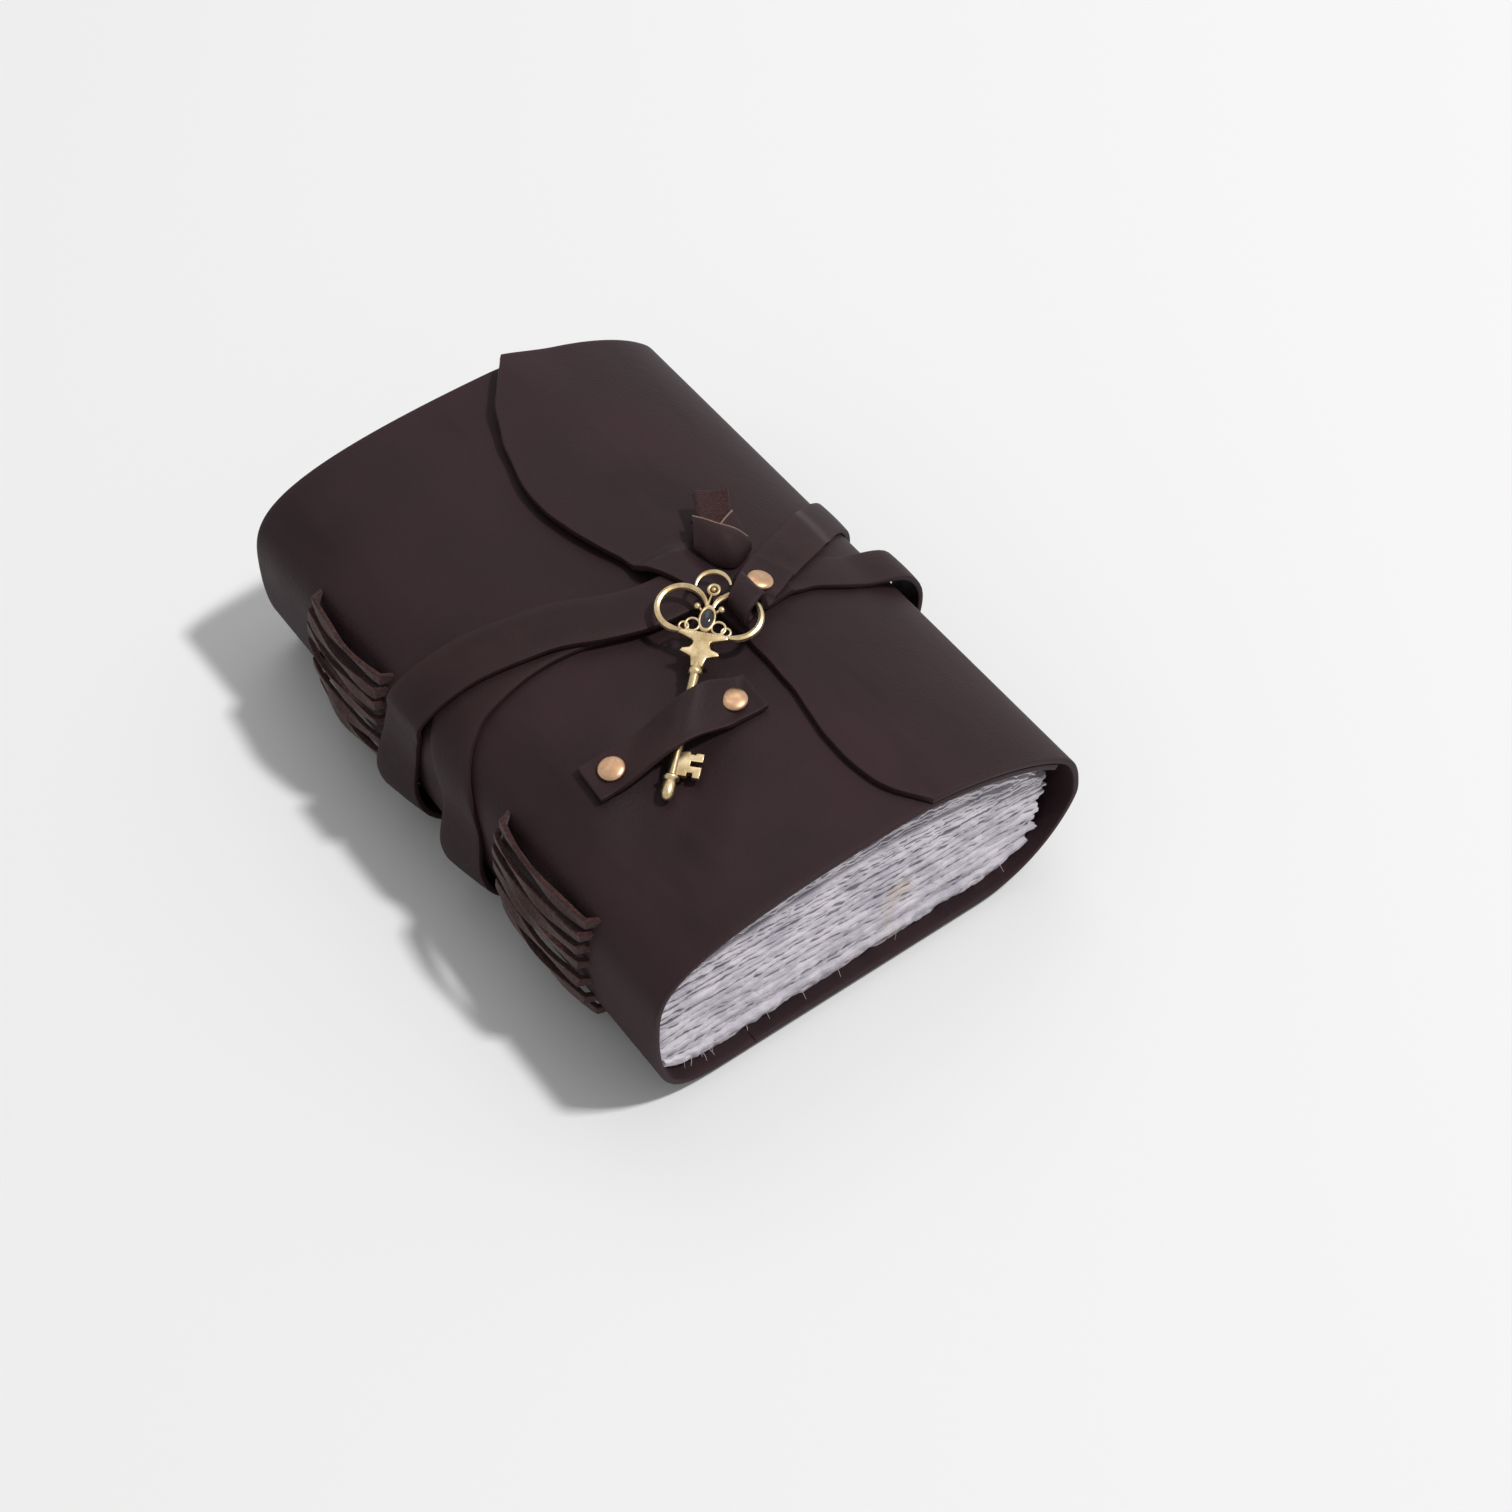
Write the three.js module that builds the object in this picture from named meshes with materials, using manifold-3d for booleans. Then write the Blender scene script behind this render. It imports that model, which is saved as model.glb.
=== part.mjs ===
// Soft leather notebook with a wrap-round flap, a strap and a key clasp.
// Millimetres. X runs from the spine to the fore-edge, Y along the spine, Z up.
// The near end of the book is at -Y. The origin is under the middle of the whole object.
import * as THREE from 'three';
import Module from 'manifold-3d';
import { mergeVertices } from 'three/addons/utils/BufferGeometryUtils.js';

// Cover section, outer face of the leather
const COVER_LENGTH = 184;
const WRAP_WIDTH = 134.2;
const WRAP_HEIGHT = 61.5;
const CROWN_SETBACK = 57.8;
const NOSE_HEIGHT = 26.6;
const NOSE_ROUND = 29.6;
const SPINE_HEIGHT = 31.9;
const SPINE_ROUND = 22.6;
const COVER_LEATHER = 1.8;

// Running clearance between pieces that lie on each other
const GAP = 0.3;

// Where the leather bends and ends, as distances in from the spine or the fore-edge
const SHOULDER_INSET = 13.4;
const NOSE_SEAM_RISE = 3;
const FRONT_COVER_INSET = 9.5;

// Paper
const PAGE_RECESS = 4.2;
const FORE_EDGE_INSET = 8.6;

// Heights at the spine that part the signatures, and how far lower they lie at the fore-edge
const BAND_HEIGHTS = [4, 12.2, 21, 30, 37.2, 42.3, 46.4, 50.2];
const BAND_FALL = 0.17;
const SIGNATURES = BAND_HEIGHTS.length - 1;
const LEAF_COUNT = 3;
const LEAF = 0.5;
const GUTTER_INSET = 23.1;

// Step by which each leaf starts further from the gutter, so that the leaves fan out clear
const LEAF_STAGGER = 1.8;

// Hollow that the key presses into the soft front cover, and the air under the cover for it
const KEY_DENT = 2.6;

// Flap: its free edge as [y, x] from the far end to the near end, and its waves
const FLAP_EDGE = [
  [92, 12.5], [83, 6.3], [76, 0.6], [68, -3], [58, -6.4], [49, -8.8], [40, -9.2], [32, -8.2], [22, -5.5],
  [14, -2.4], [6, -0.4], [0, 2.4], [-6, 4.6], [-20, 8], [-31, 8.5], [-46, 7.7], [-64, 5.3], [-80, 6.8],
  [-92, 14.5],
];
const FLAP_CORNER_CURL = 5;
const FLAP_LOBE_LIFT = 1.4;

// Swell that the flap makes over the strap ends: its middle, the half width that is level
// and the width in which it falls, the strap ends under it, and where it has died away
const SWELL_Y = -4;
const SWELL_HALF = 8.4;
const SWELL_FALL = 6.6;
const STRAP_END_X = 7;
const SWELL_END_X = 16.4;

// Strap
const STRAP_WIDTH = 14;
const LAP_WIDTH = 11.6;
const STRAP = 1.6;
const SPINE_SLACK = 3.2;
const NOSE_SLACK = 3.6;

// Long stitches of leather thong at the spine
const THONG_WIDTH = 3.4;
const THONG = 1.2;
const THONG_STANDOFF = 1.2;
const THONG_BOW = 2.4;
const THONG_DEPTH = 6;
const STITCH_SPANS = { near: [-66, -25.5], far: [25.8, 62.5] };

// Key: axis runs from the tip to the bow
const KEY_TIP = [-34, -51.2];
const KEY_TURN = 42.4;
const KEY_PITCH = 12;
const TIP_BALL = 2.2;
const SHAFT_R = 1.8;
const SHAFT_END = 38.2;
const BOW_CENTRE = 52.4;
const RING_R = 6.2;
const RING_WIRE = 0.9;
const RING_SPREAD = 6.85;
const LOBE_R = 4.1;
const LOBE_WIRE = 0.7;
const EYELET_R = 1.45;
const KEY_PLATE = 1.6;
const BIT_REACH = 8.6;
const GEM_LENGTH = 6;
const GEM_WIDTH = 3.4;
const GEM_U = 50.3;

// Tab over the key's shaft
const TAB_CENTRE = [-23.6, -39.4];
const TAB_TURN = -3.4;
const TAB_LENGTH = 47.4;
const TAB_WIDTH = 11.4;
const TAB_RIVET_SPACING = 34.8;

// Rivets
const CAP_R = 3.5;
const CAP_HEIGHT = 1.7;
const POST_R = 1.2;
const FLANGE_R = 3;
const FLANGE = 0.5;

// Key loop and knot
const LOOP_RIVET = [18.2, -16];
const FOLD_WIDTH = 6.8;
const LOOP_CAP_TILT = 5;
const KNOT_FOOT = [20.4, -3];
const KNOT_TURN = 70;
const KNOT_LENGTH = 22;
const KNOT_WIDTH = 15;
const KNOT_HEIGHT = 8.5;

const NOSE_X = WRAP_WIDTH / 2;
const SPINE_X = -WRAP_WIDTH / 2;
const BOTTOM_Z = STRAP + GAP;
const CROWN_X = NOSE_X - CROWN_SETBACK;
const HALF = COVER_LENGTH / 2;
const DEGREE = Math.PI / 180;

const wasm = await Module();
wasm.setup();

const leather = new THREE.MeshStandardMaterial({ color: 0x3d2f31, roughness: 0.62, metalness: 0 });
const spineLeather = new THREE.MeshStandardMaterial({ color: 0x2d1f21, roughness: 0.6, metalness: 0 });
const rawLeather = new THREE.MeshStandardMaterial({ color: 0x552b27, roughness: 0.85, metalness: 0 });
const paper = new THREE.MeshStandardMaterial({ color: 0xb6b0b6, roughness: 0.95, metalness: 0 });
const copper = new THREE.MeshStandardMaterial({ color: 0xc79a72, roughness: 0.35, metalness: 1 });
const brass = new THREE.MeshStandardMaterial({ color: 0x9c8455, roughness: 0.38, metalness: 1 });
const jet = new THREE.MeshStandardMaterial({ color: 0x0b0a0d, roughness: 0.1, metalness: 0 });

const book = new THREE.Group();

function addPiece(name, geometry, material) {
  const mesh = new THREE.Mesh(geometry, material);
  mesh.name = name;
  book.add(mesh);
  return mesh;
}

const lerp = THREE.MathUtils.lerp;

// 0 below the range, 1 above it, with an even start and stop
function ease(value) {
  const t = THREE.MathUtils.clamp(value, 0, 1);
  return t * t * (3 - 2 * t);
}

// 1 within half of the middle, falling to 0 over the given distance
function plateau(distance, half, fall) {
  return ease(1 - (Math.abs(distance) - half) / fall);
}

// A closed outline of four rounded quarters and a flat bottom. Each pair of numbers says
// how full a quarter is where it leaves its first point and where it meets its second.
function wrapOutline() {
  const point = (x, z) => new THREE.Vector2(x, z);
  const crown = point(CROWN_X, BOTTOM_Z + WRAP_HEIGHT);
  const nose = point(NOSE_X, BOTTOM_Z + NOSE_HEIGHT);
  const right = point(NOSE_X - NOSE_ROUND, BOTTOM_Z);
  const left = point(SPINE_X + SPINE_ROUND, BOTTOM_Z);
  const spine = point(SPINE_X, BOTTOM_Z + SPINE_HEIGHT);
  const flatFirst = (from, to, a, b) => new THREE.CubicBezierCurve(
    from, point(lerp(from.x, to.x, a), from.y), point(to.x, lerp(to.y, from.y, b)), to);
  const uprightFirst = (from, to, a, b) => new THREE.CubicBezierCurve(
    from, point(from.x, lerp(from.y, to.y, a)), point(lerp(to.x, from.x, b), to.y), to);
  const outline = new THREE.CurvePath();
  outline.add(flatFirst(crown, nose, 0.17, 0.7));
  outline.add(uprightFirst(nose, right, 0.2, 0.7));
  outline.add(new THREE.LineCurve(right, left));
  outline.add(flatFirst(left, spine, 0.57, 0.94));
  outline.add(uprightFirst(spine, crown, 0.57, 0.98));
  return outline;
}

// The outline as points at even steps of arc length, clockwise from the crown
const SAMPLES = 720;
const outline = wrapOutline();
const GIRTH = outline.getLength();
const wrap = [];
for (let i = 0; i < SAMPLES; i += 1) {
  const here = outline.getPoint(i / SAMPLES);
  const before = outline.getPoint(((i + SAMPLES - 1) % SAMPLES) / SAMPLES);
  const after = outline.getPoint(((i + 1) % SAMPLES) / SAMPLES);
  const along = after.clone().sub(before).normalize();
  wrap.push({ x: here.x, z: here.y, nx: -along.y, nz: along.x });
}

// Point of the outline at an arc length, with its outward normal
function wrapAt(s) {
  const place = (((s / GIRTH) % 1) + 1) % 1 * SAMPLES;
  const i = Math.floor(place) % SAMPLES;
  const a = wrap[i];
  const b = wrap[(i + 1) % SAMPLES];
  const t = place - Math.floor(place);
  const nx = lerp(a.nx, b.nx, t);
  const nz = lerp(a.nz, b.nz, t);
  const size = Math.hypot(nx, nz);
  return { x: lerp(a.x, b.x, t), z: lerp(a.z, b.z, t), nx: nx / size, nz: nz / size };
}

function onWrap(s, y, n) {
  const p = wrapAt(s);
  return new THREE.Vector3(p.x + p.nx * n, y, p.z + p.nz * n);
}

// Arc length at which a test first turns true, walking from one place to another
function findArc(from, to, test) {
  const count = 4 * SAMPLES;
  for (let i = 0; i <= count; i += 1) {
    const s = lerp(from, to, i / count);
    if (test(wrapAt(s))) return s;
  }
  return to;
}

const NOSE_S = findArc(0, GIRTH / 2, (p) => p.nz <= 0);
const SPINE_S = findArc(0, -GIRTH / 2, (p) => p.nz <= 0);

// Arc length of the point of the top that lies over x, negative towards the spine
function topArc(x) {
  if (x >= CROWN_X) return findArc(0, NOSE_S, (p) => p.x >= x);
  return findArc(0, SPINE_S, (p) => p.x <= x);
}

const SEAM_S = findArc(NOSE_S, 0, (p) => p.z >= BOTTOM_Z + NOSE_HEIGHT + NOSE_SEAM_RISE);
const SHOULDER_S = topArc(SPINE_X + SHOULDER_INSET);
const FRONT_EDGE_S = topArc(NOSE_X - FRONT_COVER_INSET);
const LEFT_FLAT_S = findArc(SPINE_S, -GIRTH, (p) => p.x >= SPINE_X + SPINE_ROUND);
const RIGHT_FLAT_S = findArc(LEFT_FLAT_S, -GIRTH, (p) => p.x >= NOSE_X - NOSE_ROUND);
const LAP_NOSE_S = NOSE_S - GIRTH;

// Solid from a closed mesh: shared points are merged and triangles of no area left out
function toManifold(geometry) {
  const bare = geometry.clone();
  bare.deleteAttribute('normal');
  bare.deleteAttribute('uv');
  const merged = mergeVertices(bare, 1e-4);
  const source = merged.index.array;
  const index = [];
  for (let i = 0; i < source.length; i += 3) {
    const [a, b, c] = [source[i], source[i + 1], source[i + 2]];
    if (a !== b && b !== c && c !== a) index.push(a, b, c);
  }
  return new wasm.Manifold(new wasm.Mesh({
    numProp: 3,
    vertProperties: new Float32Array(merged.attributes.position.array),
    triVerts: new Uint32Array(index),
  }));
}

function toGeometry(solid) {
  const mesh = solid.getMesh();
  const geometry = new THREE.BufferGeometry();
  geometry.setAttribute('position', new THREE.BufferAttribute(new Float32Array(mesh.vertProperties), 3));
  geometry.setIndex(new THREE.BufferAttribute(new Uint32Array(mesh.triVerts), 1));
  geometry.computeVertexNormals();
  return geometry;
}

function cut(geometry, cutters) {
  let solid = toManifold(geometry);
  for (const cutter of cutters) solid = solid.subtract(toManifold(cutter));
  return toGeometry(solid);
}

function join(geometries) {
  let solid = toManifold(geometries[0]);
  for (const geometry of geometries.slice(1)) solid = solid.add(toManifold(geometry));
  return toGeometry(solid);
}

// Six times the volume inside a list of triangles
function signedVolume(points, triangles) {
  let sum = 0;
  for (let i = 0; i < triangles.length; i += 3) {
    const a = points[triangles[i]];
    const b = points[triangles[i + 1]];
    const c = points[triangles[i + 2]];
    sum += a.dot(b.clone().cross(c));
  }
  return sum;
}

function closedGeometry(points, triangles) {
  const index = triangles.slice();
  if (signedVolume(points, index) < 0) index.reverse();
  const geometry = new THREE.BufferGeometry();
  geometry.setFromPoints(points);
  geometry.setIndex(index);
  geometry.computeVertexNormals();
  return geometry;
}

// Closed sheet between an under face and an upper face. face(u, v, upper) gives a point,
// with u and v from 0 to 1.
function sheet(columns, rows, face) {
  const points = [];
  for (let upper = 0; upper < 2; upper += 1) {
    for (let i = 0; i <= columns; i += 1) {
      for (let j = 0; j <= rows; j += 1) points.push(face(i / columns, j / rows, upper));
    }
  }
  const layer = (columns + 1) * (rows + 1);
  const at = (i, j, upper) => upper * layer + i * (rows + 1) + j;
  const triangles = [];
  const quad = (a, b, c, d) => triangles.push(a, b, c, a, c, d);
  for (let i = 0; i < columns; i += 1) {
    for (let j = 0; j < rows; j += 1) {
      quad(at(i, j, 1), at(i + 1, j, 1), at(i + 1, j + 1, 1), at(i, j + 1, 1));
      quad(at(i, j, 0), at(i, j + 1, 0), at(i + 1, j + 1, 0), at(i + 1, j, 0));
    }
    quad(at(i, 0, 0), at(i + 1, 0, 0), at(i + 1, 0, 1), at(i, 0, 1));
    quad(at(i, rows, 0), at(i, rows, 1), at(i + 1, rows, 1), at(i + 1, rows, 0));
  }
  for (let j = 0; j < rows; j += 1) {
    quad(at(0, j, 0), at(0, j, 1), at(0, j + 1, 1), at(0, j + 1, 0));
    quad(at(columns, j, 0), at(columns, j + 1, 0), at(columns, j + 1, 1), at(columns, j, 1));
  }
  return closedGeometry(points, triangles);
}

// Closed ring swept through a list of rings of four points each
function ringOfSections(sections) {
  const points = sections.flat();
  const count = sections.length;
  const triangles = [];
  for (let i = 0; i < count; i += 1) {
    const next = (i + 1) % count;
    for (let k = 0; k < 4; k += 1) {
      const k2 = (k + 1) % 4;
      triangles.push(i * 4 + k, next * 4 + k, next * 4 + k2, i * 4 + k, next * 4 + k2, i * 4 + k2);
    }
  }
  return closedGeometry(points, triangles);
}

function smoothValues(stations) {
  const points = stations.map((p) => new THREE.Vector3(p[0], p[1], 0));
  return new THREE.CatmullRomCurve3(points, false, 'centripetal');
}

// Free edge of the flap: x at each y
const flapEdgeCurve = smoothValues(FLAP_EDGE);
const flapEdgePoints = flapEdgeCurve.getPoints(200);

function flapEdgeX(y) {
  const scaled = y / HALF * FLAP_EDGE[0][0];
  let best = flapEdgePoints[0];
  for (const point of flapEdgePoints) {
    if (Math.abs(point.x - scaled) < Math.abs(best.x - scaled)) best = point;
  }
  return best.y;
}

// Height of the flap's under face over the outline. It continues the back cover at the
// seam, rises over the front cover, clears the two strap ends, and curls at its far corner.
function flapUnder(s, y) {
  const x = wrapAt(s).x;
  const over = ease((SEAM_S - s) / (SEAM_S - FRONT_EDGE_S - 2));
  const base = lerp(-COVER_LEATHER, GAP, over);
  const overStrap = plateau(y - SWELL_Y, SWELL_HALF, SWELL_FALL);
  const strapEnds = (2 * STRAP + 3 * GAP) * overStrap * ease((SWELL_END_X - x) / (SWELL_END_X - STRAP_END_X - 1));
  const corner = FLAP_CORNER_CURL * ease((y - 55) / (HALF - 55)) * ease((30 - x) / 34);
  const lobe = FLAP_LOBE_LIFT * plateau(y - 36, 10, 34) * ease((26 - x) / 34);
  return base + strapEnds + corner + lobe * (1 - overStrap);
}

function flapOuter(s, y) {
  return flapUnder(s, y) + COVER_LEATHER;
}

// Key frame: u from the tip to the bow in plan, and the height of its axis
const keyAxis = new THREE.Vector2(Math.cos(KEY_TURN * DEGREE), Math.sin(KEY_TURN * DEGREE));
const tipSurface = wrapAt(topArc(KEY_TIP[0]));
const KEY_TIP_Z = tipSurface.z - KEY_DENT + GAP + TIP_BALL;

function keyHeight(u) {
  return KEY_TIP_Z + (u - TIP_BALL) * Math.tan(KEY_PITCH * DEGREE);
}

// Plan point of a place on the key: u along it, v to the left of it
function keyPlan(u, v) {
  const along = (u - TIP_BALL) * Math.cos(KEY_PITCH * DEGREE);
  return [KEY_TIP[0] + along * keyAxis.x - v * keyAxis.y, KEY_TIP[1] + along * keyAxis.y + v * keyAxis.x];
}

// A plan point as distance along the key and distance from its axis
function alongKey(x, y) {
  const dx = x - KEY_TIP[0];
  const dy = y - KEY_TIP[1];
  return {
    u: TIP_BALL + dx * keyAxis.x + dy * keyAxis.y,
    off: Math.abs(dx * keyAxis.y - dy * keyAxis.x),
  };
}

// Spine and back cover: one sheet from the seam at the nose, under the pages, to the shoulder
function backCover(cutters) {
  const start = SEAM_S - GIRTH;
  const geometry = sheet(56, 1, (u, v, upper) => onWrap(
    lerp(start, SHOULDER_S, u), lerp(-HALF, HALF, v), upper ? 0 : -COVER_LEATHER));
  return cut(geometry, cutters);
}

// Depth of the hollow under the key at a plan point, deepest at the tip
function keyDent(x, y) {
  const { u, off } = alongKey(x, y);
  return KEY_DENT * plateau(off, 4.5, 9) * plateau(u - 4, 6, 22);
}

function frontCover(cutters) {
  const start = SHOULDER_S + GAP;
  // Close rows where the key lies, open ones elsewhere
  const rows = [-HALF];
  for (let y = -72; y <= -24; y += 4) rows.push(y);
  rows.push(-12, HALF);
  const last = rows.length - 1;
  const geometry = sheet(26, last, (u, v, upper) => {
    const s = lerp(start, FRONT_EDGE_S, u);
    const y = rows[Math.round(v * last)];
    return onWrap(s, y, (upper ? 0 : -COVER_LEATHER) - keyDent(wrapAt(s).x, y));
  });
  return cut(geometry, cutters);
}

// Rows across the flap, close together where it swells over the strap ends
function flapRows() {
  const swell = [0, 1, 0.6, 0.3].map((share) => SWELL_HALF + share * SWELL_FALL);
  const near = swell.slice(1).map((reach) => SWELL_Y - reach);
  const far = swell.map((reach) => SWELL_Y + reach).sort((a, b) => a - b);
  const steps = 10;
  const rows = [...near, SWELL_Y - SWELL_HALF, SWELL_Y, ...far];
  const [first, last] = [near[0], far[far.length - 1]];
  for (let i = 1; i <= steps; i += 1) {
    rows.unshift(lerp(first, -HALF, i / steps));
    rows.push(lerp(last, HALF, i / steps));
  }
  return rows;
}

function flap() {
  const rows = flapRows();
  const last = rows.length - 1;
  return sheet(22, last, (u, v, upper) => {
    const y = rows[Math.round(v * last)];
    const s = lerp(topArc(flapEdgeX(y)), SEAM_S - GAP, u);
    return onWrap(s, y, upper ? flapOuter(s, y) : flapUnder(s, y));
  });
}

// The side of a line in the section that holds the wanted page band
function clipOutline(points, height, keepAbove) {
  const side = (p) => (p.y - height(p.x)) * (keepAbove ? 1 : -1);
  const kept = [];
  for (let i = 0; i < points.length; i += 1) {
    const a = points[i];
    const b = points[(i + 1) % points.length];
    const da = side(a);
    const db = side(b);
    if (da >= 0) kept.push(a);
    if (da * db < 0) kept.push(a.clone().lerp(b, da / (da - db)));
  }
  return kept;
}

const LEAF_TOP = COVER_LEATHER + KEY_DENT + GAP;
const PAGE_TOP = LEAF_TOP + LEAF_COUNT * (LEAF + GAP);
const PAGE_SIDE = COVER_LEATHER + GAP;
const FORE_EDGE_X = NOSE_X - FORE_EDGE_INSET;

// Section of the whole page block, inside the leather
function pageOutline() {
  const points = [];
  const top = topArc(FORE_EDGE_X + 2);
  const bottom = LAP_NOSE_S - 2;
  const count = 76;
  for (let i = 0; i <= count; i += 1) {
    const s = lerp(top, bottom, i / count);
    const share = ease((SHOULDER_S - 6 - s) / 16);
    const p = onWrap(s, 0, -lerp(PAGE_TOP, PAGE_SIDE, share));
    points.push(new THREE.Vector2(p.x, p.z));
  }
  return points;
}

// Heights that part the signatures, from the spine side to the fore-edge side
function bandHeight(level) {
  const left = BAND_HEIGHTS[level];
  const right = left * (1 - BAND_FALL) + PAGE_SIDE;
  return (x) => lerp(left, right, (x - SPINE_X) / (FORE_EDGE_X - SPINE_X));
}

function extrudeAlongY(outlinePoints, length) {
  const shape = new THREE.Shape(outlinePoints);
  const geometry = new THREE.ExtrudeGeometry(shape, { depth: length, bevelEnabled: false });
  geometry.rotateX(Math.PI / 2);
  geometry.translate(0, length / 2, 0);
  return geometry;
}

function signature(index, cutters) {
  let points = pageOutline();
  points = points.filter((p) => p.x <= FORE_EDGE_X);
  if (index > 0) {
    const line = bandHeight(index);
    points = clipOutline(points, (x) => line(x) + GAP / 2, true);
  }
  if (index < SIGNATURES - 1) {
    const line = bandHeight(index + 1);
    points = clipOutline(points, (x) => line(x) - GAP / 2, false);
  }
  return cut(extrudeAlongY(points, COVER_LENGTH - 2 * PAGE_RECESS), cutters);
}

const GUTTER_S = topArc(SPINE_X + GUTTER_INSET);

function frontLeaf(index) {
  const start = GUTTER_S + index * LEAF_STAGGER;
  const end = topArc(FORE_EDGE_X);
  const upperN = -(LEAF_TOP + index * (LEAF + GAP));
  const half = HALF - PAGE_RECESS;
  return sheet(20, 1, (u, v, upper) => onWrap(
    lerp(start, end, u), lerp(-half, half, v), upper ? upperN : upperN - LEAF));
}

// Spine height at which a signature is sewn
function stitchHeight(index) {
  return (bandHeight(index)(SPINE_X) + bandHeight(index + 1)(SPINE_X)) / 2;
}

// One stitch: a closed loop of thong that bows out over the spine and runs back inside
// the fold of its signature. grow widens it into the slot that it needs.
function stitchLoop(index, span, grow) {
  const z = stitchHeight(index);
  const face = wrapAt(findArc(SPINE_S - GIRTH / 6, SPINE_S + GIRTH / 6, (p) => p.x < 0 && p.z >= z));
  const inner = face.x + COVER_LEATHER + THONG_DEPTH;
  const path = [];
  const steps = 8;
  for (let i = 0; i <= steps; i += 1) {
    const t = i / steps;
    const out = THONG_STANDOFF + THONG_BOW * Math.sin(Math.PI * t) ** 0.8;
    path.push(new THREE.Vector2(face.x - out, lerp(span[0], span[1], t)));
  }
  path.push(new THREE.Vector2(inner, span[1]), new THREE.Vector2(inner, span[0]));
  const sections = path.map((p, i) => {
    const before = path[(i + path.length - 1) % path.length];
    const after = path[(i + 1) % path.length];
    const a = p.clone().sub(before).normalize();
    const b = after.clone().sub(p).normalize();
    const mid = a.clone().add(b).normalize();
    const reach = (THONG / 2 + grow) / Math.max(0.5, mid.dot(a));
    const side = new THREE.Vector2(-mid.y, mid.x).multiplyScalar(reach);
    const w = THONG_WIDTH / 2 + grow;
    const corner = (k, h) => new THREE.Vector3(p.x + side.x * k, p.y + side.y * k, z + h * w);
    return [corner(1, 1), corner(-1, 1), corner(-1, -1), corner(1, -1)];
  });
  return ringOfSections(sections);
}

const stitches = [];
for (const [group, span] of Object.entries(STITCH_SPANS)) {
  for (let i = 0; i < SIGNATURES; i += 1) {
    stitches.push({ name: `thong_${group}_${i + 1}`, index: i, span });
  }
}

// Under face of the tab: flat on the cover at its ends, a ridge over the key's shaft
function tabUnder(x, y) {
  const { u, off } = alongKey(x, y);
  const surface = wrapAt(topArc(x)).z;
  const over = keyHeight(u) + SHAFT_R + 2 * GAP - surface;
  return GAP + (over - GAP) * plateau(off, SHAFT_R + 0.3, 5.4);
}

function tabPlan(a, b) {
  const c = Math.cos(TAB_TURN * DEGREE);
  const d = Math.sin(TAB_TURN * DEGREE);
  return [TAB_CENTRE[0] + a * c - b * d, TAB_CENTRE[1] + a * d + b * c];
}

function tab(cutters) {
  const geometry = sheet(30, 4, (u, v, upper) => {
    const [x, y] = tabPlan((u - 0.5) * TAB_LENGTH, (v - 0.5) * TAB_WIDTH);
    return onWrap(topArc(x), y, tabUnder(x, y) + (upper ? STRAP : 0));
  });
  return cut(geometry, cutters);
}

// Turns a geometry whose axis is Y so that it stands on the cover at a plan point
function standOnCover(geometry, x, y, n) {
  const p = wrapAt(topArc(x));
  geometry.rotateX(Math.PI / 2);
  geometry.rotateY(Math.atan2(p.nx, p.nz));
  geometry.translate(p.x + p.nx * n, y, p.z + p.nz * n);
  return geometry;
}

function shaftCutter(radius, length) {
  return new THREE.CylinderGeometry(radius, radius, length, 16);
}

// Cap and post of a rivet that clamps layers of the given total depth
const RIVET_SIDES = 16;

function rivetCap() {
  const socket = POST_R + GAP;
  const profile = [
    [socket, 0], [CAP_R, 0], [CAP_R, 0.35 * CAP_HEIGHT], [0.8 * CAP_R, 0.75 * CAP_HEIGHT],
    [0.45 * CAP_R, 0.95 * CAP_HEIGHT], [0, CAP_HEIGHT], [0, 0.5 * CAP_HEIGHT], [socket, 0.5 * CAP_HEIGHT],
    [socket, 0],
  ].map(([r, h]) => new THREE.Vector2(r, h));
  return lathe(profile, RIVET_SIDES);
}

function rivetPost(depth) {
  const profile = [
    [0, -FLANGE], [FLANGE_R, -FLANGE], [FLANGE_R, 0], [POST_R, 0], [POST_R, depth], [0, depth],
  ].map(([r, h]) => new THREE.Vector2(r, h));
  return lathe(profile, RIVET_SIDES);
}

// Closed lathe whose axis is along Y, with its profile given from the axis outwards
function lathe(profile, sides) {
  const geometry = new THREE.LatheGeometry(profile, sides);
  return toGeometry(toManifold(geometry));
}

// Strap routes as [arc length, y], from under the knot round the book to the key loop
const lap = (x) => topArc(x) - GIRTH;
const FAR_ROUTE = [
  [topArc(STRAP_END_X), -5.4], [topArc(-8), -3.9], [topArc(-18.7), 0], [topArc(-28.2), 4.8], [topArc(-39), 8],
  [topArc(-48.6), 10.8], [topArc(-57), 12.5], [SPINE_S, 17], [LEFT_FLAT_S, 16], [RIGHT_FLAT_S, 14],
  [LAP_NOSE_S, 12], [lap(57), 6.4], [lap(48), 0.6], [lap(40.6), -4.1], [lap(30.4), -9.2], [lap(25.9), -11.7],
];
const NEAR_ROUTE = [
  [topArc(STRAP_END_X), -5.4], [topArc(-8), -2.4], [topArc(-23), 2.4], [topArc(-31.7), 4.1], [topArc(-40.7), 4.5],
  [topArc(-50), 3.7], [topArc(-57.5), 2.2], [topArc(-63), -1.2], [SPINE_S, -11.4], [LEFT_FLAT_S + 16, -14],
  [LEFT_FLAT_S, -16], [RIGHT_FLAT_S, -18], [LAP_NOSE_S, -17.5], [lap(45), -16.6], [lap(35), -14.2],
  [lap(26.6), -14],
];

// The strap is wide on the book and narrows on its second lap, towards the key
function bandWidth(s) {
  return lerp(STRAP_WIDTH, LAP_WIDTH, ease((LEFT_FLAT_S - s) / (LEFT_FLAT_S - LAP_NOSE_S)));
}

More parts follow.
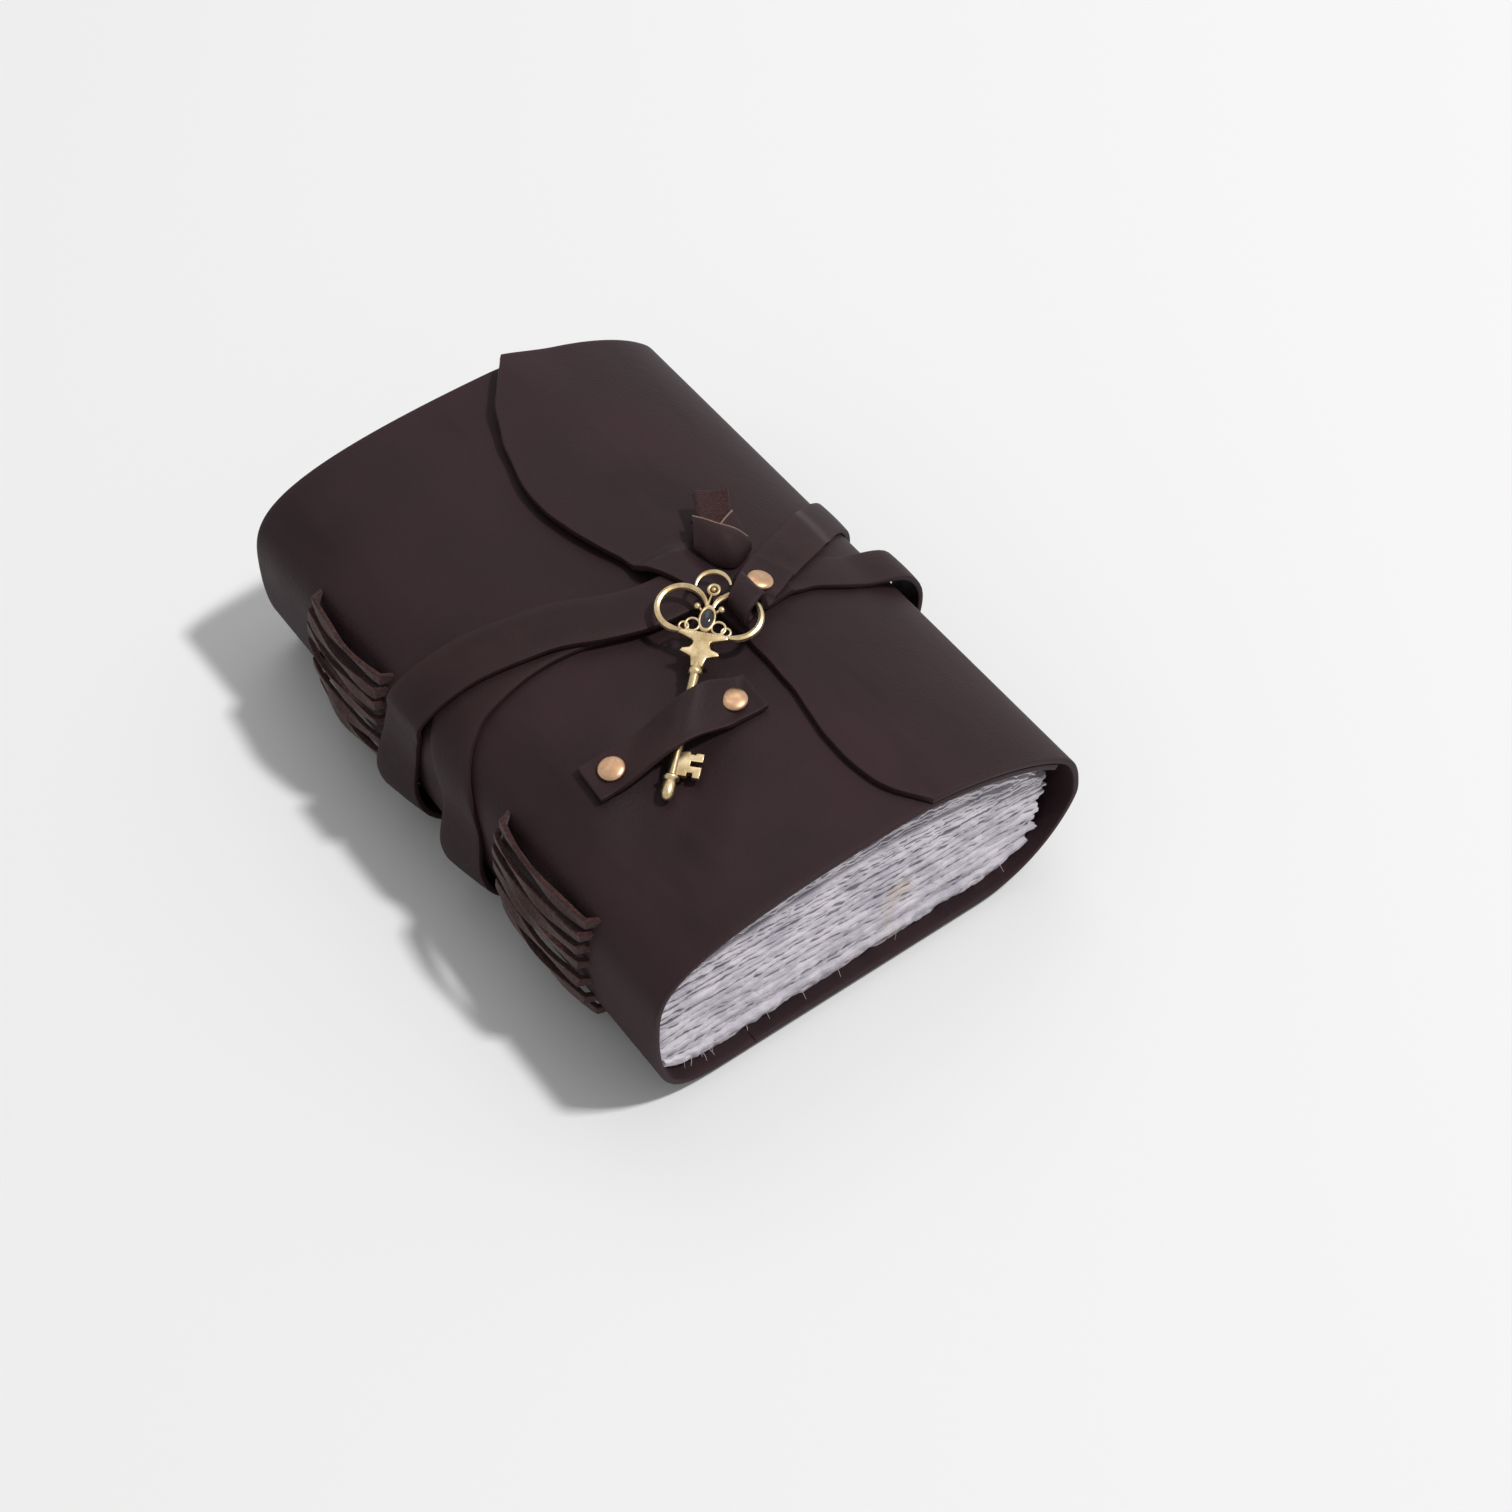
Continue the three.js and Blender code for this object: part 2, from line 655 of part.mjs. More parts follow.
// y of a route at an arc length, for telling where two bands lie over each other
function routeY(route, s) {
  for (let i = 0; i + 1 < route.length; i += 1) {
    const [a, b] = [route[i], route[i + 1]];
    if (s <= a[0] && s >= b[0]) return lerp(a[1], b[1], (a[0] - s) / (a[0] - b[0]));
  }
  return s > route[0][0] ? route[0][1] : route[route.length - 1][1];
}

function overlapRaise(s) {
  const apart = Math.abs(routeY(FAR_ROUTE, s) - routeY(NEAR_ROUTE, s));
  return (STRAP + 2 * GAP) * plateau(apart, bandWidth(s) + 3, 5);
}

function rivetRise(s, y) {
  const x = wrapAt(s).x;
  const secondLap = s < RIGHT_FLAT_S ? 1 : 0;
  return secondLap * (FLANGE + GAP) * plateau(Math.hypot(x - LOOP_RIVET[0], y - LOOP_RIVET[1]), 5, 9);
}

// Under face of a strap band. Past the nose, on its second lap, it lies over the flap.
function strapUnder(s, y, onTop, slack) {
  const lapS = s + GIRTH;
  const secondLap = s < RIGHT_FLAT_S;
  const base = secondLap && lapS < SEAM_S ? flapOuter(lapS, y) + GAP : GAP;
  const crossing = onTop ? overlapRaise(s) : 0;
  const spineRun = SPINE_S - LEFT_FLAT_S;
  const atSpine = SPINE_SLACK * plateau(s - SPINE_S + 0.35 * spineRun, 2, 0.65 * spineRun - 12);
  const atNose = secondLap ? slack * plateau(lapS - NOSE_S + 13, 2, 17) : 0;
  return base + crossing + rivetRise(s, y) + atSpine + atNose;
}

const STRAP_STEPS = 92;

function strapBand(route, steps, onTop, slack) {
  const curve = smoothValues(route);
  return sheet(steps, 3, (u, v, upper) => {
    const here = curve.getPoint(u);
    const tangent = curve.getTangent(u);
    const side = (v - 0.5) * bandWidth(here.x);
    const s = here.x - tangent.y * side;
    const y = here.y + tangent.x * side;
    const n = strapUnder(s, y, onTop, slack);
    return onWrap(s, y, upper ? n + STRAP : n);
  });
}

// Where the loop's rivet stands on the flap, and the height of its flange's upper face
const loopBase = flapOuter(topArc(LOOP_RIVET[0]), LOOP_RIVET[1]) + GAP + FLANGE;

// Key loop: the strap's bight, from the far band over the ring's wire, round it and back
function keyLoop(cutters) {
  const ring = new THREE.Vector2(...keyPlan(BOW_CENTRE, -RING_SPREAD));
  const rivet = new THREE.Vector2(...LOOP_RIVET);
  const towards = rivet.clone().sub(ring).normalize();
  const fromRing = (reach) => ring.clone().addScaledVector(towards, reach).toArray();
  const cross = fromRing(RING_R);
  const wireN = keyHeight(alongKey(...cross).u) - wrapAt(topArc(cross[0])).z;
  const shut = loopBase + GAP;
  const clear = RING_WIRE + GAP + STRAP / 2;
  const bend = Math.SQRT1_2 * clear;
  const lower = shut + 0.5 * STRAP;
  const upperLeg = lower + STRAP + GAP;
  const fold = RING_R - clear - 2.3;
  const [rx, ry] = LOOP_RIVET;
  // x, y, height of the band's middle and its width
  const stations = [
    [rx + 6.4, ry + 3.7, upperLeg, LAP_WIDTH],
    [rx, ry, upperLeg, LAP_WIDTH],
    [...fromRing(rivet.distanceTo(ring) - CAP_R), upperLeg + 0.1, LAP_WIDTH - 0.8],
    [...fromRing(RING_R + bend), wireN + bend, FOLD_WIDTH + 2],
    [...cross, wireN + clear, FOLD_WIDTH + 0.9],
    [...fromRing(fold + 1.8), wireN + clear, FOLD_WIDTH + 0.2],
    [...fromRing(fold + 0.5), wireN + 0.72 * clear, FOLD_WIDTH],
    [...fromRing(fold), wireN, FOLD_WIDTH],
    [...fromRing(fold + 0.5), wireN - 0.72 * clear, FOLD_WIDTH],
    [...fromRing(fold + 1.8), wireN - clear, FOLD_WIDTH + 0.6],
    [...fromRing(RING_R + bend), wireN - clear, FOLD_WIDTH + 2.4],
    [rx, ry + 0.4, lower, LAP_WIDTH],
    [rx + 6.4, ry + 1.8, lower, LAP_WIDTH],
  ];
  const middle = new THREE.CatmullRomCurve3(
    stations.map(([x, y, n]) => onWrap(topArc(x), y, n)), false, 'centripetal');
  const widths = new THREE.CatmullRomCurve3(
    stations.map((p, i) => new THREE.Vector3(i, p[3], 0)), false, 'centripetal');
  const last = stations.length - 1;
  const geometry = sheet(3 * last, 4, (u, v, upper) => {
    const p = middle.getPoint(u);
    const tangent = middle.getTangent(u);
    const across = new THREE.Vector3(0, 1, 0);
    across.addScaledVector(tangent, -across.dot(tangent)).normalize();
    const normal = new THREE.Vector3().crossVectors(tangent, across);
    p.addScaledVector(across, (v - 0.5) * widths.getPoint(u).y);
    p.addScaledVector(normal, (upper - 0.5) * STRAP);
    // The fold leans with the ring that it holds
    const fromCentre = Math.hypot(p.x - ring.x, p.y - ring.y);
    const lean = keyHeight(alongKey(p.x, p.y).u) - keyHeight(alongKey(...cross).u);
    p.z += lean * ease((RING_R + 3 - fromCentre) / 3);
    return p;
  });
  return cut(geometry, cutters);
}

// Strap knot: a bud of wrapped strap on the flap, with its square tail standing out
function knot() {
  const c = Math.cos(KNOT_TURN * DEGREE);
  const d = Math.sin(KNOT_TURN * DEGREE);
  const width = (t) => {
    if (t > 0.62) return lerp(0.66, 0.56, ease((t - 0.62) / 0.1));
    return lerp(0.6, 1, Math.sin(Math.PI * Math.min(1, t / 0.62)));
  };
  const top = (t) => {
    if (t > 0.62) return lerp(KNOT_HEIGHT, KNOT_HEIGHT * 0.86, ease((t - 0.62) / 0.08));
    return KNOT_HEIGHT * lerp(0.62, 1, ease(t / 0.4));
  };
  const bottom = (t) => lerp(0, top(t) - 2, ease((t - 0.66) / 0.14));
  return sheet(18, 8, (u, v, upper) => {
    const across = (v - 0.5) * KNOT_WIDTH * width(u);
    const x = KNOT_FOOT[0] + c * u * KNOT_LENGTH + d * across;
    const y = KNOT_FOOT[1] + d * u * KNOT_LENGTH - c * across;
    const s = topArc(x);
    const round = Math.sqrt(Math.max(0, 1 - Math.abs(2 * v - 1) ** (u > 0.66 ? 12 : 2.6)));
    const low = bottom(u) + GAP;
    const high = Math.max(low + 0.8, low + (top(u) - bottom(u)) * lerp(0.45, 1, round));
    return onWrap(s, y, flapOuter(s, y) + (upper ? high : low));
  });
}

// Key, lying flat with its tip at the origin, bow towards +X and bit towards -Y
function plate(shape, depth) {
  const geometry = new THREE.ExtrudeGeometry(shape, { depth, bevelEnabled: false, curveSegments: 8 });
  geometry.translate(0, 0, -depth / 2);
  return geometry;
}

function keyShaft() {
  const profile = [
    [0, 0], [0.62 * TIP_BALL, 0.22 * TIP_BALL], [TIP_BALL, TIP_BALL], [0.62 * TIP_BALL, 1.8 * TIP_BALL],
    [0.8 * SHAFT_R, 4.8], [1.25 * SHAFT_R, 5.2], [1.25 * SHAFT_R, 6], [SHAFT_R, 6.4],
    [SHAFT_R, SHAFT_END - 4], [1.3 * SHAFT_R, SHAFT_END - 3.4], [1.3 * SHAFT_R, SHAFT_END - 1.2],
    [0.9 * SHAFT_R, SHAFT_END], [0, SHAFT_END],
  ].map(([r, h]) => new THREE.Vector2(r, h));
  const geometry = lathe(profile, RIVET_SIDES);
  geometry.rotateZ(-Math.PI / 2);
  return geometry;
}

function keyBit() {
  const near = -SHAFT_R / 2;
  const far = -BIT_REACH;
  const shape = new THREE.Shape([
    [7, near], [7, far], [8.4, far], [8.4, -5.6], [9.6, -5.6], [9.6, far], [11, far], [11, -5.6],
    [12.2, -5.6], [12.2, far], [13.6, far], [13.6, near],
  ].map(([x, y]) => new THREE.Vector2(x, y)));
  return plate(shape, KEY_PLATE);
}

// Cross-piece with two pointed arms, widening into the crown
function keyStar() {
  const base = SHAFT_END - 1;
  const half = [
    [base, 1.5], [base + 2.8, 1.7], [base + 3.7, 4.6], [base + 4.8, 2.2], [base + 5.6, 3.3],
    [base + 6.2, 1.8], [base + 7.8, 2.2], [base + 9.2, 4.2],
  ];
  const other = half.map(([x, y]) => [x, -y]).reverse();
  return plate(new THREE.Shape([...half, ...other].map(([x, y]) => new THREE.Vector2(x, y))), KEY_PLATE);
}

// Upright oval column that cuts an opening through a plate
function oval(u, v, ru, rv) {
  const geometry = new THREE.CylinderGeometry(1, 1, 2 * KEY_PLATE, 12);
  geometry.rotateX(Math.PI / 2);
  geometry.scale(ru, rv, 1);
  geometry.translate(u, v, 0);
  return geometry;
}

// Crown plate: an arched band with a seat for the stone and openings beside it
function keyCrown() {
  const base = SHAFT_END + 7;
  const outlineHalf = [
    [base, 6.2], [base + 1.6, 6.9], [base + 3.6, 6], [base + 4.2, 4.4], [base + 6, 4.6], [base + 6.8, 3],
    [base + 8.6, 2.5], [base + 9.6, 0],
  ];
  const other = outlineHalf.slice(0, -1).map(([x, y]) => [x, -y]).reverse();
  const shape = new THREE.Shape([...outlineHalf, ...other].map(([x, y]) => new THREE.Vector2(x, y)));
  const openings = [];
  for (const side of [-1, 1]) {
    openings.push(oval(base + 3.6, side * 3.35, 1.5, 0.95), oval(base + 1.9, side * 5.45, 0.9, 0.75));
  }
  return cut(plate(shape, KEY_PLATE), openings);
}

function ringAt(u, v, radius, wire, around) {
  const geometry = new THREE.TorusGeometry(radius, wire, 6, around);
  geometry.translate(u, v, 0);
  return geometry;
}

function ballAt(u, v, radius) {
  const geometry = new THREE.SphereGeometry(radius, 8, 6);
  geometry.translate(u, v, 0);
  return geometry;
}

function keyBody() {
  const lobeU = BOW_CENTRE + LOBE_R + LOBE_WIRE + 3.8;
  const body = join([
    keyShaft(), keyBit(), keyStar(), keyCrown(),
    ringAt(BOW_CENTRE, RING_SPREAD, RING_R, RING_WIRE, 24),
    ringAt(BOW_CENTRE, -RING_SPREAD, RING_R, RING_WIRE, 24),
    ringAt(lobeU, 0, LOBE_R, LOBE_WIRE, 20),
    ringAt(lobeU - 1.2, 0, EYELET_R, 0.55, 12),
    plate(new THREE.Shape([[-2.6, -0.6], [-0.6, -0.6], [-0.6, 0.6], [-2.6, 0.6]].map(
      ([x, y]) => new THREE.Vector2(lobeU - 1.2 + x, y))), 1),
    ballAt(BOW_CENTRE + 1.8, 3.2, 1),
    ballAt(BOW_CENTRE + 1.8, -3.2, 1),
  ]);
  return cut(body, [oval(GEM_U, 0, GEM_LENGTH / 2 + GAP, GEM_WIDTH / 2 + GAP)]);
}

function keyGem() {
  const geometry = new THREE.SphereGeometry(1, 12, 8);
  geometry.scale(GEM_LENGTH / 2, GEM_WIDTH / 2, 1.1);
  geometry.translate(GEM_U, 0, 0.25);
  return toGeometry(toManifold(geometry));
}

function placeOnKey(mesh) {
  const x = new THREE.Vector3(keyAxis.x, keyAxis.y, Math.tan(KEY_PITCH * DEGREE)).normalize();
  const y = new THREE.Vector3(-keyAxis.y, keyAxis.x, 0);
  const z = new THREE.Vector3().crossVectors(x, y);
  mesh.quaternion.setFromRotationMatrix(new THREE.Matrix4().makeBasis(x, y, z));
  mesh.position.set(KEY_TIP[0], KEY_TIP[1], KEY_TIP_Z).addScaledVector(x, -TIP_BALL);
}

// Paper and spine
const slots = stitches.map((stitch) => stitchLoop(stitch.index, stitch.span, GAP));
addPiece('cover_back_spine', backCover(slots), spineLeather);
for (let i = 0; i < SIGNATURES; i += 1) {
  const own = slots.filter((slot, k) => stitches[k].index === i);
  addPiece(`signature_${i + 1}`, signature(i, own), paper);
}
for (const stitch of stitches) {
  addPiece(stitch.name, stitchLoop(stitch.index, stitch.span, 0), rawLeather);
}
for (let i = 0; i < LEAF_COUNT; i += 1) addPiece(`front_leaf_${i + 1}`, frontLeaf(i), paper);

// Front cover with its tab and rivets
const tabRivets = [-0.5, 0.5].map((side) => tabPlan(side * TAB_RIVET_SPACING, 0));
const holes = tabRivets.map(([x, y]) => standOnCover(shaftCutter(POST_R + GAP, 16), x, y, 0));
const seats = tabRivets.map(([x, y]) => standOnCover(
  shaftCutter(FLANGE_R + GAP, 2 * (FLANGE + GAP)), x, y, -COVER_LEATHER));
addPiece('cover_front', frontCover([...holes, ...seats]), leather);
addPiece('key_tab', tab(holes), leather);
['left', 'right'].forEach((side, i) => {
  const [x, y] = tabRivets[i];
  const under = -COVER_LEATHER + FLANGE;
  const capBase = tabUnder(x, y) + STRAP + GAP;
  addPiece(`tab_rivet_post_${side}`, standOnCover(
    rivetPost(capBase + 0.3 * CAP_HEIGHT - under), x, y, under), copper);
  addPiece(`tab_rivet_cap_${side}`, standOnCover(rivetCap(), x, y, capBase), copper);
});

// Flap, knot and straps
addPiece('cover_flap', flap(), leather);
addPiece('strap_knot', knot(), leather);
addPiece('strap_far_turn', strapBand(FAR_ROUTE, STRAP_STEPS, true, 0), leather);
addPiece('strap_near_turn', strapBand(NEAR_ROUTE, STRAP_STEPS, false, NOSE_SLACK), leather);

// Key loop with its rivet
const loopHole = standOnCover(shaftCutter(POST_R + GAP, 30), LOOP_RIVET[0], LOOP_RIVET[1], 6);
addPiece('key_loop', keyLoop([loopHole]), leather);
const loopCapBase = loopBase + 2 * STRAP + 4 * GAP;
addPiece('loop_rivet_post', standOnCover(
  rivetPost(loopCapBase + 0.3 * CAP_HEIGHT - loopBase), LOOP_RIVET[0], LOOP_RIVET[1], loopBase), copper);
const loopCap = rivetCap();
loopCap.rotateZ(-LOOP_CAP_TILT * DEGREE);
addPiece('loop_rivet_cap', standOnCover(loopCap, LOOP_RIVET[0], LOOP_RIVET[1], loopCapBase), copper);

// Key
placeOnKey(addPiece('key', keyBody(), brass));
placeOnKey(addPiece('key_stone', keyGem(), jet));

// The origin goes under the middle of the whole object
const bounds = new THREE.Box3().setFromObject(book);
const centre = bounds.getCenter(new THREE.Vector3());
book.position.set(-centre.x, -centre.y, -bounds.min.z);

export default book;
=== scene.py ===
"""Looks of a soft leather notebook with a wrap-round flap, a strap and a key clasp.

Shapes are worked out in millimetres in the book's own section and written in metres. X runs
from the spine to the fore-edge, Y along the spine, Z up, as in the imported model.
"""

import logging
import math
from dataclasses import dataclass, field
from enum import Enum
from typing import Callable

import bpy
import numpy as np
from mathutils import Matrix, Vector


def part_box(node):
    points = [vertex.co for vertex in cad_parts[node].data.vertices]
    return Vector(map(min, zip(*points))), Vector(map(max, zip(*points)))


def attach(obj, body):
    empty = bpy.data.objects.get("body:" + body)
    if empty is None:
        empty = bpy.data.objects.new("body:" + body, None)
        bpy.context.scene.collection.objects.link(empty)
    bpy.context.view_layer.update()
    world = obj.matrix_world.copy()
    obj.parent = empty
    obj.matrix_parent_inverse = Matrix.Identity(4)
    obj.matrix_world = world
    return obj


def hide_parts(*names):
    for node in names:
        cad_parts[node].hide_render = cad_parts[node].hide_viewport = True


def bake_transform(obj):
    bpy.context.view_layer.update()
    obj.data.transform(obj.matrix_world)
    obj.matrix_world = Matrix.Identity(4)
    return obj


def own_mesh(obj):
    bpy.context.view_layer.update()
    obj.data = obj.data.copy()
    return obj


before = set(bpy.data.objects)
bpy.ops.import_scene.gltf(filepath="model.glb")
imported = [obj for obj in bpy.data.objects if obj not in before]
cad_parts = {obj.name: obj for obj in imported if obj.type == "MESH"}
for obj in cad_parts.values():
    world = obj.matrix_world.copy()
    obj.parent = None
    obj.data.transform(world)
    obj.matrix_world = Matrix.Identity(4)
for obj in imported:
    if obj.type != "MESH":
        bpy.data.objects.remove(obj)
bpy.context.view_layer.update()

MM = 0.001
TINY = 1e-4  # Keeps a distance from being nothing where it divides.
CLOSED_END = 0.02  # Radius in millimetres that stands for a closed end of a turned piece.
LOG = logging.getLogger("notebook")
Place = Callable[[np.ndarray, np.ndarray, float], np.ndarray]


# Sums


def lerp(a: float, b: float, t: np.ndarray) -> np.ndarray:
    """Gives the value a share t of the way from a to b."""
    return a + (b - a) * t


def ease(value: np.ndarray) -> np.ndarray:
    """Gives 0 below 0 and 1 above 1, with an even start and stop between."""
    t = np.clip(value, 0.0, 1.0)
    return t * t * (3 - 2 * t)


def plateau(distance: np.ndarray, half: float, fall: float) -> np.ndarray:
    """Gives 1 within half of the middle, falling to 0 over the given distance."""
    return ease(1 - (np.abs(distance) - half) / fall)


def ripple(a: np.ndarray, b: np.ndarray, seed: int, length: float) -> np.ndarray:
    """Sums a few slow waves over two coordinates, for unevenness that is the same each run.

    Args:
        a: First coordinate, in millimetres.
        b: Second coordinate, in millimetres.
        seed: Picks the directions and phases of the waves.
        length: Longest wavelength, in millimetres.

    Returns:
        Values from about -1 to 1.
    """
    waves, shorter, weaker, height = 6, 0.72, 0.8, 3.2
    random = np.random.default_rng(seed)
    total = np.zeros(np.broadcast(a, b).shape)
    for k in range(waves):
        turn, phase = random.uniform(0, 2 * np.pi, 2)
        wave = 2 * np.pi / (length * shorter**k)
        total = total + weaker**k * np.sin((np.cos(turn) * a + np.sin(turn) * b) * wave + phase)
    return total / height


@dataclass
class SmoothLine:
    """A curve through stations, each a tuple of numbers, without loops between them."""

    stations: list | tuple

    def at(self, share: np.ndarray) -> np.ndarray:
        """Gives points of the curve.

        Args:
            share: Places along the curve, 0 to 1, with the same share for each span.

        Returns:
            One row of coordinates for each place.
        """
        p = np.array(self.stations, float)
        spans = len(p) - 1
        p = np.vstack([2 * p[0] - p[1], p, 2 * p[-1] - p[-2]])
        place = np.clip(np.asarray(share, float), 0, 1) * spans
        i = np.minimum(place.astype(int), spans - 1)
        w = (place - i)[:, None]
        a, b, c, d = p[i], p[i + 1], p[i + 2], p[i + 3]

        def gap(m: np.ndarray, n: np.ndarray) -> np.ndarray:
            """Gives the square root of the distance between rows, never nothing."""
            return np.maximum(np.sqrt(np.linalg.norm(n - m, axis=1)), TINY)[:, None]

        g0, g1, g2 = gap(a, b), gap(b, c), gap(c, d)
        s = g1 * ((b - a) / g0 - (c - a) / (g0 + g1) + (c - b) / g1)
        e = g1 * ((c - b) / g1 - (d - b) / (g1 + g2) + (d - c) / g2)
        return b + s * w + (3 * (c - b) - 2 * s - e) * w**2 + (2 * (b - c) + s + e) * w**3

    def heading(self, share: np.ndarray) -> np.ndarray:
        """Gives the direction of the curve.

        Args:
            share: Places along the curve, as for at.

        Returns:
            One unit row for each place.
        """
        step = 1e-3
        way = self.at(np.asarray(share) + step) - self.at(np.asarray(share) - step)
        return way / np.maximum(np.linalg.norm(way, axis=1), 1e-9)[:, None]


# Sizes of the book


@dataclass
class Book:
    """Section and layers of the closed book, in millimetres.

    The section is the outer face of the leather. A place on it is an arc length s from the
    crown, positive towards the nose and negative towards the spine, a place y along the
    spine, and a height n out of the leather.
    """

    length: float = 184.0
    width: float = 134.2
    height: float = 61.5
    crown_setback: float = 57.8
    nose_height: float = 26.6
    nose_round: float = 29.6
    spine_height: float = 31.9
    spine_round: float = 22.6
    leather: float = 1.8
    gap: float = 0.3
    strap: float = 1.6
    strap_width: float = 14.0
    lap_width: float = 11.6
    shoulder_inset: float = 13.4
    seam_rise: float = 3.0
    front_inset: float = 9.5
    fore_edge_inset: float = 8.6
    page_recess: float = 4.2
    key_dent: float = 2.6
    leaf: float = 0.5
    leaves: int = 3
    gutter_inset: float = 23.1
    bands: tuple = (4.0, 12.2, 21.0, 30.0, 37.2, 42.3, 46.4, 50.2)
    band_fall: float = 0.17
    samples: int = 2400
    top_samples: int = 1600
    side_samples: int = 2000
    spine_samples: int = 3000
    bottom_samples: int = 4000
    outline_samples: int = 500
    normal_span: int = 4
    nose_pull: tuple = (0.17, 0.7, 0.2, 0.7)
    spine_pull: tuple = (0.57, 0.94, 0.57, 0.98)

    def __post_init__(self) -> None:
        """Measures the section once, at even steps of arc length."""
        self.half = self.length / 2
        self.signatures = len(self.bands) - 1
        self.base = self.strap + self.gap
        self.nose_x = self.width / 2
        self.spine_x = -self.width / 2
        self.fore_edge_x = self.nose_x - self.fore_edge_inset
        low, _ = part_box("cover_back_spine")
        self.shift = low.x / MM - self.spine_x
        line = self._outline()
        steps = np.r_[0, np.cumsum(np.linalg.norm(np.diff(line, axis=0), axis=1))]
        self.girth = float(steps[-1])
        self._s = np.linspace(0, self.girth, self.samples + 1)
        self._x = np.interp(self._s, steps, line[:, 0])
        self._z = np.interp(self._s, steps, line[:, 1])
        span = self.girth / self.samples * self.normal_span
        ahead = self._raw(self._s + span)
        behind = self._raw(self._s - span)
        along = ahead - behind
        along /= np.linalg.norm(along, axis=1)[:, None]
        self._nx, self._nz = -along[:, 1], along[:, 0]
        self.nose_s = float(self._s[np.argmax(self._x)])
        self.spine_s = float(self._s[np.argmin(self._x)]) - self.girth
        top = np.linspace(self.spine_s, self.nose_s, self.top_samples)
        self._top_s, self._top_x = top, self._raw(top)[:, 0]
        self.seam_s = self._nose_arc(self.base + self.nose_height + self.seam_rise)
        self.shoulder_s = float(self.top_arc(self.spine_x + self.shoulder_inset))
        self.front_edge_s = float(self.top_arc(self.nose_x - self.front_inset))
        places = np.linspace(self.spine_s, self.nose_s - self.girth, self.bottom_samples)
        under = self._raw(places)[:, 0]
        self.left_flat_s = float(places[np.argmax(under >= self.spine_x + self.spine_round)])
        self.right_flat_s = float(places[np.argmax(under >= self.nose_x - self.nose_round)])

    def _outline(self) -> np.ndarray:
        """Draws the section clockwise from the crown.

        Returns:
            Dense points, as x and z.
        """
        crown = np.array([self.nose_x - self.crown_setback, self.base + self.height])
        nose = np.array([self.nose_x, self.base + self.nose_height])
        right = np.array([self.nose_x - self.nose_round, self.base])
        left = np.array([self.spine_x + self.spine_round, self.base])
        spine = np.array([self.spine_x, self.base + self.spine_height])
        t = np.linspace(0, 1, self.outline_samples)[:, None]

        def quarter(a: np.ndarray, b: np.ndarray, flat_first: bool, p: float, q: float) -> np.ndarray:
            """Draws a rounded quarter.

            Args:
                a: Its first point.
                b: Its last point.
                flat_first: True if it leaves its first point flat, False if upright.
                p: How far the first pull reaches towards the corner, as a share.
                q: How far the second pull reaches towards the corner, as a share.

            Returns:
                Points from the first to the last.
            """
            if flat_first:
                one = np.array([lerp(a[0], b[0], p), a[1]])
                two = np.array([b[0], lerp(b[1], a[1], q)])
            else:
                one = np.array([a[0], lerp(a[1], b[1], p)])
                two = np.array([lerp(b[0], a[0], q), b[1]])
            r = 1 - t
            return r**3 * a + 3 * r * r * t * one + 3 * r * t * t * two + t**3 * b

        over, under = self.nose_pull, self.spine_pull
        return np.vstack([
            quarter(crown, nose, True, *over[:2]),
            quarter(nose, right, False, *over[2:]),
            right + (left - right) * t,
            quarter(left, spine, True, *under[:2]),
            quarter(spine, crown, False, *under[2:]),
        ])

    def _raw(self, s: np.ndarray) -> np.ndarray:
        """Gives x and z of the section at arc lengths."""
        s = np.mod(s, self.girth)
        return np.stack([np.interp(s, self._s, self._x), np.interp(s, self._s, self._z)], axis=-1)

    def _nose_arc(self, z: float) -> float:
        """Gives the arc length over the nose where the section is at a height."""
        places = np.linspace(0.3 * self.nose_s, self.nose_s, self.side_samples)
        return float(places[np.argmin(np.abs(self._raw(places)[:, 1] - z))])

    def spine_arc(self, z: float) -> float:
        """Gives the arc length on the spine where the section is at a height."""
        places = np.linspace(self.left_flat_s, self.shoulder_s, self.spine_samples)
        return float(places[np.argmin(np.abs(self._raw(places)[:, 1] - z))])

    def top_arc(self, x: np.ndarray) -> np.ndarray:
        """Gives the arc length of the point of the top that lies over x."""
        return np.interp(x, self._top_x, self._top_s)

    def surface(self, s: np.ndarray) -> tuple[np.ndarray, np.ndarray]:
        """Gives places on the section.

        Args:
            s: Arc lengths.

        Returns:
            Points and outward normals, as x and z.
        """
        m = np.mod(s, self.girth)
        normal = np.stack([np.interp(m, self._s, self._nx), np.interp(m, self._s, self._nz)], axis=-1)
        normal /= np.linalg.norm(normal, axis=-1, keepdims=True)
        return self._raw(s), normal

    def point(self, s: np.ndarray, y: np.ndarray, n: np.ndarray) -> np.ndarray:
        """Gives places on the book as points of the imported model.

        Args:
            s: Arc lengths.
            y: Places along the spine.
            n: Heights out of the leather.

        Returns:
            Points in millimetres.
        """
        s, y, n = np.broadcast_arrays(np.asarray(s, float), y, n)
        p, normal = self.surface(s)
        out = p + normal * n[..., None]
        return np.stack([out[..., 0] + self.shift, y, out[..., 1]], axis=-1)

    def over(self, x: np.ndarray, y: np.ndarray, n: np.ndarray) -> np.ndarray:
        """Gives points at a height n over the places of the top that lie over x."""
        return self.point(self.top_arc(x), y, n)


book = Book()


# Modelling


def deselect_all() -> None:
    """Leaves edit mode and selects nothing."""
    if bpy.context.object and bpy.context.object.mode != "OBJECT":
        bpy.ops.object.mode_set(mode="OBJECT")
    bpy.ops.object.select_all(action="DESELECT")


def make_active(piece: bpy.types.Object) -> None:
    """Selects one piece alone and makes it the active one.

    Args:
        piece: The piece to work on.
    """
    deselect_all()
    piece.select_set(True)
    bpy.context.view_layer.objects.active = piece


